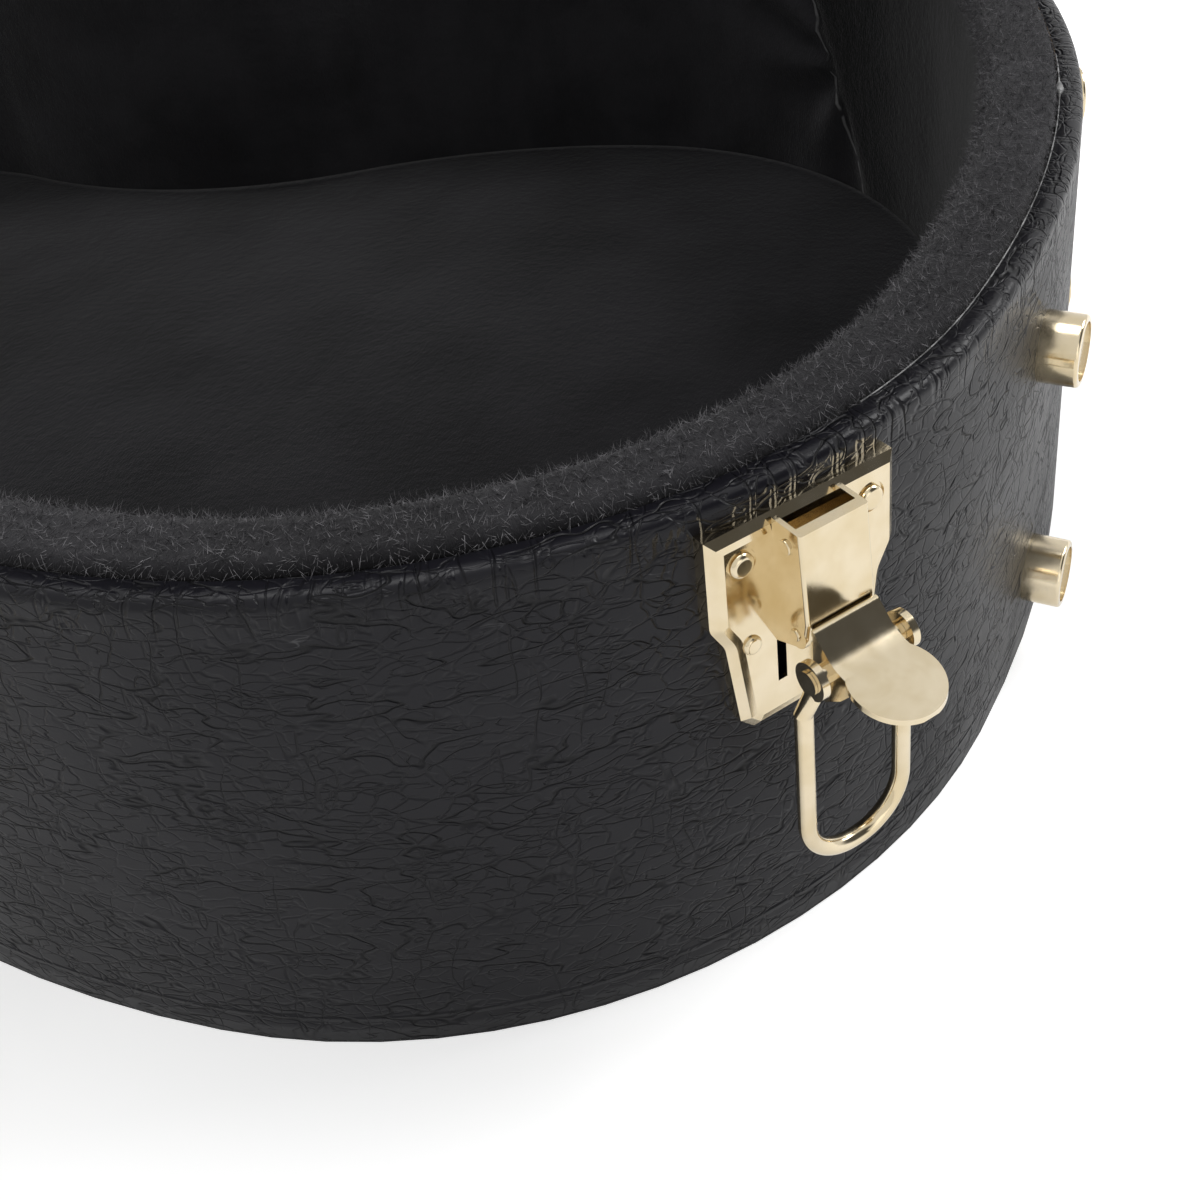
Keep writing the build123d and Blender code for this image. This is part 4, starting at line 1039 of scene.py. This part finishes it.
class CASE_OT_lid(bpy.types.Operator):
    """Make the lid's covering, wall lining and padded top"""

    bl_idname = "case.lid"
    bl_label = "Lid"

    def execute(self, context):
        c, s = context.scene.case_covering, context.scene.case_lining
        outline = make_outline()
        shell = [(0.012, LID_TOP, 0), (0.0, LID_TOP, LID_EDGE_ROUND)]
        shell += [(0.0, LID_LOW, 0.0004), (c.thickness, LID_LOW, 0)]
        profile = [(0.012, LID_TOP)] + rounded(shell)[1:]
        inside = [(c.thickness, LID_TOP - LID_EDGE_ROUND), (0.005, LID_TOP - c.thickness)]
        grained = vinyl("lid_grain", c.colour)
        covering = sheet_rows("lid_covering_grain", outline, profile + inside, grained)
        settle(swung(covering), "lid", "lid_covering")
        ceiling = LID_TOP - c.wall
        outer, inner = c.wall + 0.0003, c.wall + 0.0003 + s.lid_wall_pad
        low = LID_LOW + s.lid_relief
        edge = [(inner, low, 0.0016), (outer, low, 0.0012), (outer, ceiling, 0), (inner, ceiling, 0)]
        lining = sweep("lid_lining", outline, divided(rounded(edge, 5), 0.004), plush("lid_wall_plush", s.colour))
        settle(swung(lining), "lid", "lid_wall_lining")
        side = inner + 0.0003
        face = ceiling - s.lid_pad
        under = [(side + 0.004, ceiling), (side, ceiling), (side, ceiling - 0.003), (side + 0.0006, face + 0.0016)]
        under += [(side + 0.0022, face + 0.0004), (side + 0.0045, face)]
        pad = sheet_rows("lid_pad", outline, under, plush("lid_plush", s.colour), underside=lid_swell)
        settle(swung(pad), "lid", "lid_top_pad")
        return {"FINISHED"}


class CASE_OT_accessory_box(bpy.types.Operator):
    """Make the padded wall, neck cradle and lid of the accessory box, and its ribbon tab"""

    bl_idname = "case.accessory_box"
    bl_label = "Accessory box"

    def execute(self, context):
        material = plush("box_plush", context.scene.case_lining.colour, "Object")
        upholstered("accessory_wall", "box_wall", material, 0.0022, 0.0009, 0.0012)
        upholstered("neck_cradle", "cradle", material, 0.0030, 0.0009, 0.0012)
        upholstered("accessory_lid", "box_lid", material, 0.0018, 0.0005, 0.0006)
        low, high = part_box("accessory_pull_tab")
        half, thick = (high.x - low.x) / 2, 0.0011
        middle, turn = (low.x + high.x) / 2, half - thick / 2
        path = [(middle + turn, low.z + (high.z - turn - low.z) * k / 8) for k in range(8)]
        arch = [math.pi * k / 14 for k in range(15)]
        path += [(middle + turn * math.cos(a), high.z - thick / 2 - turn + turn * math.sin(a)) for a in arch]
        path += [(middle - turn, p[1]) for p in reversed(path[:8])]
        across = np.linspace(low.y, high.y, 11)
        vertices = [(x, y * (1 - 0.05 * (z > high.z - turn)), z) for x, z in path for y in across]
        tab = new_object("pull_tab", vertices, grid_faces(len(path), len(across)), ribbon_weave())
        thicken = tab.modifiers.new("thickness", "SOLIDIFY")
        thicken.thickness, thicken.offset = thick * 0.9, 0.0
        applied(tab)
        body = body_of(NODES["accessory_pull_tab"])[0]
        settle(facing_out(tab), body, "accessory_pull_tab")
        return {"FINISHED"}


class CASE_OT_handle(bpy.types.Operator):
    """Make the stitched grip of the handle"""

    bl_idname = "case.handle"
    bl_label = "Handle grip"

    def execute(self, context):
        places = vertex_places(NODES["handle_grip"].data)
        middle = (places.max(0) + places.min(0)) / 2
        spread = np.linalg.eigh(np.cov((places - middle)[:, :2].T))
        along = np.append(spread[1][:, -1], 0.0)
        along *= np.sign(along[0])
        out = np.array((along[1], -along[0], 0.0))
        reach = np.abs((places - middle) @ along).max()
        up = np.array((0.0, 0.0, 1.0))
        around, rows, rings = 48, [], []
        # Thickest in the middle, thinner from 0.69 of the half length, rounded off at the ends.
        for u in np.linspace(-1, 1, 81):
            end = max(0.0, (abs(u) - 0.69) / 0.31)
            tall = 0.0105 - 0.0020 * min(1.0, abs(u) / 0.69) ** 2 - 0.0029 * end**1.3
            close = math.sqrt(max(0.0, 1 - max(0.0, (abs(u) - 0.965) / 0.035) ** 2))
            rings.append((u * reach, tall * close, tall * 0.86 * close))
        for u, tall, wide in rings:
            for k in range(around):
                a = 2 * math.pi * k / around
                ridge = 0.0007 * math.exp(-(((a - 1.5 * math.pi) / 0.09) ** 2)) * (tall > 0.004)
                lump = 0.0003 * ripple(u * 60, math.cos(a) * 2, math.sin(a) * 2)
                radius = np.array((wide * math.cos(a), tall * math.sin(a))) * (1 + (ridge + lump) / max(tall, 0.003))
                rows.append(middle + along * u + out * radius[0] + up * radius[1])
        material = vinyl("grip_grain", context.scene.case_covering.colour, "Object")
        grip = new_object("grip", rows, tube_faces(len(rings), around), material)
        with edited(grip) as bm:
            bmesh.ops.remove_doubles(bm, verts=bm.verts, dist=1e-5)
            bmesh.ops.recalc_face_normals(bm, faces=bm.faces)
        body = body_of(NODES["handle_grip"])[0]
        settle(grip, body, "handle_grip")
        for side in (-1, 1):
            angle = 1.5 * math.pi + side * 0.24
            line = [
                middle + along * u + out * wide * math.cos(angle) * 1.01 + up * tall * math.sin(angle) * 1.01
                for u, tall, wide in rings[6:-6]
            ]
            row = stitch_row("grip_stitches_" + ("left" if side < 0 else "right"), line, 0.0042, 0.0030, 0.0008)
            settle(row, body)
        return {"FINISHED"}


# Stage


def make_floor():
    finish = Finish("studio_floor")
    seen, mirrored, through = (finish.add("ShaderNodeLightPath", out=ray) for ray in (SEEN, MIRRORED, THROUGH))
    lit = finish.add("ShaderNodeBsdfDiffuse", {}, {"Color": (0.9, 0.9, 0.9, 1)})
    shown = (seen.largest(through) * 0.62).largest(mirrored * 0.36)
    glow = finish.add("ShaderNodeEmission", {}, {"Color": (1, 1, 1, 1), "Strength": shown})
    both = finish.add("ShaderNodeAddShader", {}, {0: lit, 1: glow})
    finish.add("ShaderNodeOutputMaterial", {}, {"Surface": both})
    size = 6.0
    corners = [(-size, -size, -0.0002), (size, -size, -0.0002), (size, size, -0.0002), (-size, size, -0.0002)]
    new_object("studio_floor", corners, [(0, 1, 2, 3)], finish.material, smooth=False)


def make_world(scene):
    """White to the eye; what metal mirrors has a dark part low on the right, as beside a studio flag."""
    scene.world = bpy.data.worlds.new("studio")
    room = Finish("studio", scene.world)
    direction = room.add("ShaderNodeTexCoord", out=0)
    towards = {0: direction, 1: (0.84, -0.118, 0.53)}
    flag = room.add("ShaderNodeVectorMath", {"operation": "DOT_PRODUCT"}, towards, out=1)
    seen, mirrored, through = (room.add("ShaderNodeLightPath", out=ray) for ray in (SEEN, MIRRORED, THROUGH))
    metal = mirrored * flag.ramp(0.82, 0.94, 0.86, 0.09)
    strength = seen.largest(through).largest(metal).largest(flag.ramp(0.80, 0.93, 0.36, 0.06))
    light = room.add("ShaderNodeBackground", {}, {"Color": (1, 1, 1, 1), "Strength": strength})
    room.add("ShaderNodeOutputWorld", {}, {"Surface": light})


def add_lamp(name, place, aim, size, watts):
    data = bpy.data.lights.new(name, "AREA")
    data.shape, data.size, data.energy = "SQUARE", size, watts
    lamp = linked(name, data)
    lamp.location = place
    lamp.rotation_euler = (Vector(aim) - Vector(place)).to_track_quat("-Z", "Y").to_euler()


def add_camera(scene):
    c = scene.case_camera
    level = math.cos(c.elevation)
    back = Vector((math.sin(c.azimuth) * level, -math.cos(c.azimuth) * level, math.sin(c.elevation)))
    right = Vector((0, 0, 1)).cross(back).normalized()
    up = back.cross(right)
    level_right = right * math.cos(c.roll) + up * math.sin(c.roll)
    level_up = up * math.cos(c.roll) - right * math.sin(c.roll)
    data = bpy.data.cameras.new("photo_camera")
    data.sensor_width = 36.0
    data.lens = c.lens
    data.shift_x, data.shift_y = c.shift
    data.clip_start = 0.01
    camera = linked("photo_camera", data)
    turn = Matrix((level_right, level_up, back)).transposed().to_4x4()
    camera.matrix_world = Matrix.Translation(Vector(c.place)) @ turn
    scene.camera = camera
    scene.view_settings.view_transform = "Standard"


class CASE_OT_stage(bpy.types.Operator):
    """Set up the floor, lamps, world and camera"""

    bl_idname = "case.stage"
    bl_label = "Stage"

    def execute(self, context):
        scene = context.scene
        make_floor()
        make_world(scene)
        for lamp in (
            ("key", (1.45, 0.72, 1.20), (0.45, 0.0, 0.05), 0.8, 14.0),
            ("top", (0.0, 0.3, 2.0), (0.3, 0.0, 0.0), 1.2, 14.0),
            ("side", (1.7, -1.3, 0.5), (0.3, -0.1, 0.05), 1.0, 2.0),
        ):
            add_lamp(*lamp)
        add_camera(scene)
        return {"FINISHED"}


# Panel


class CASE_PT_panel(bpy.types.Panel):
    """Sidebar panel with the case's sizes and pieces"""

    bl_label = "Guitar Case"
    bl_idname = "CASE_PT_panel"
    bl_space_type = "VIEW_3D"
    bl_region_type = "UI"
    bl_category = "Guitar Case"

    def draw(self, context):
        for group in (context.scene.case_lining, context.scene.case_covering):
            for key in group.bl_rna.properties.keys():
                if key not in ("rna_type", "name"):
                    self.layout.prop(group, key)
        for operator in OPERATORS:
            self.layout.operator(operator.bl_idname)


GROUPS = {
    "case_outline": CaseOutlineSizes,
    "case_lining": LiningSizes,
    "case_covering": CoveringSizes,
    "case_camera": CameraPlace,
}
OPERATORS = (
    CASE_OT_hardware,
    CASE_OT_covering,
    CASE_OT_tray_lining,
    CASE_OT_rim_pile,
    CASE_OT_lid,
    CASE_OT_accessory_box,
    CASE_OT_handle,
    CASE_OT_stage,
)


def register():
    for cls in (*GROUPS.values(), *OPERATORS, CASE_PT_panel):
        bpy.utils.register_class(cls)
    for name, group in GROUPS.items():
        setattr(bpy.types.Scene, name, PointerProperty(type=group))


def unregister():
    for name in GROUPS:
        delattr(bpy.types.Scene, name)
    for cls in (CASE_PT_panel, *reversed(OPERATORS), *reversed(GROUPS.values())):
        bpy.utils.unregister_class(cls)


def main():
    register()
    for operator in OPERATORS:
        group, action = operator.bl_idname.split(".")
        getattr(getattr(bpy.ops, group), action)()


if __name__ == "__main__":
    main()
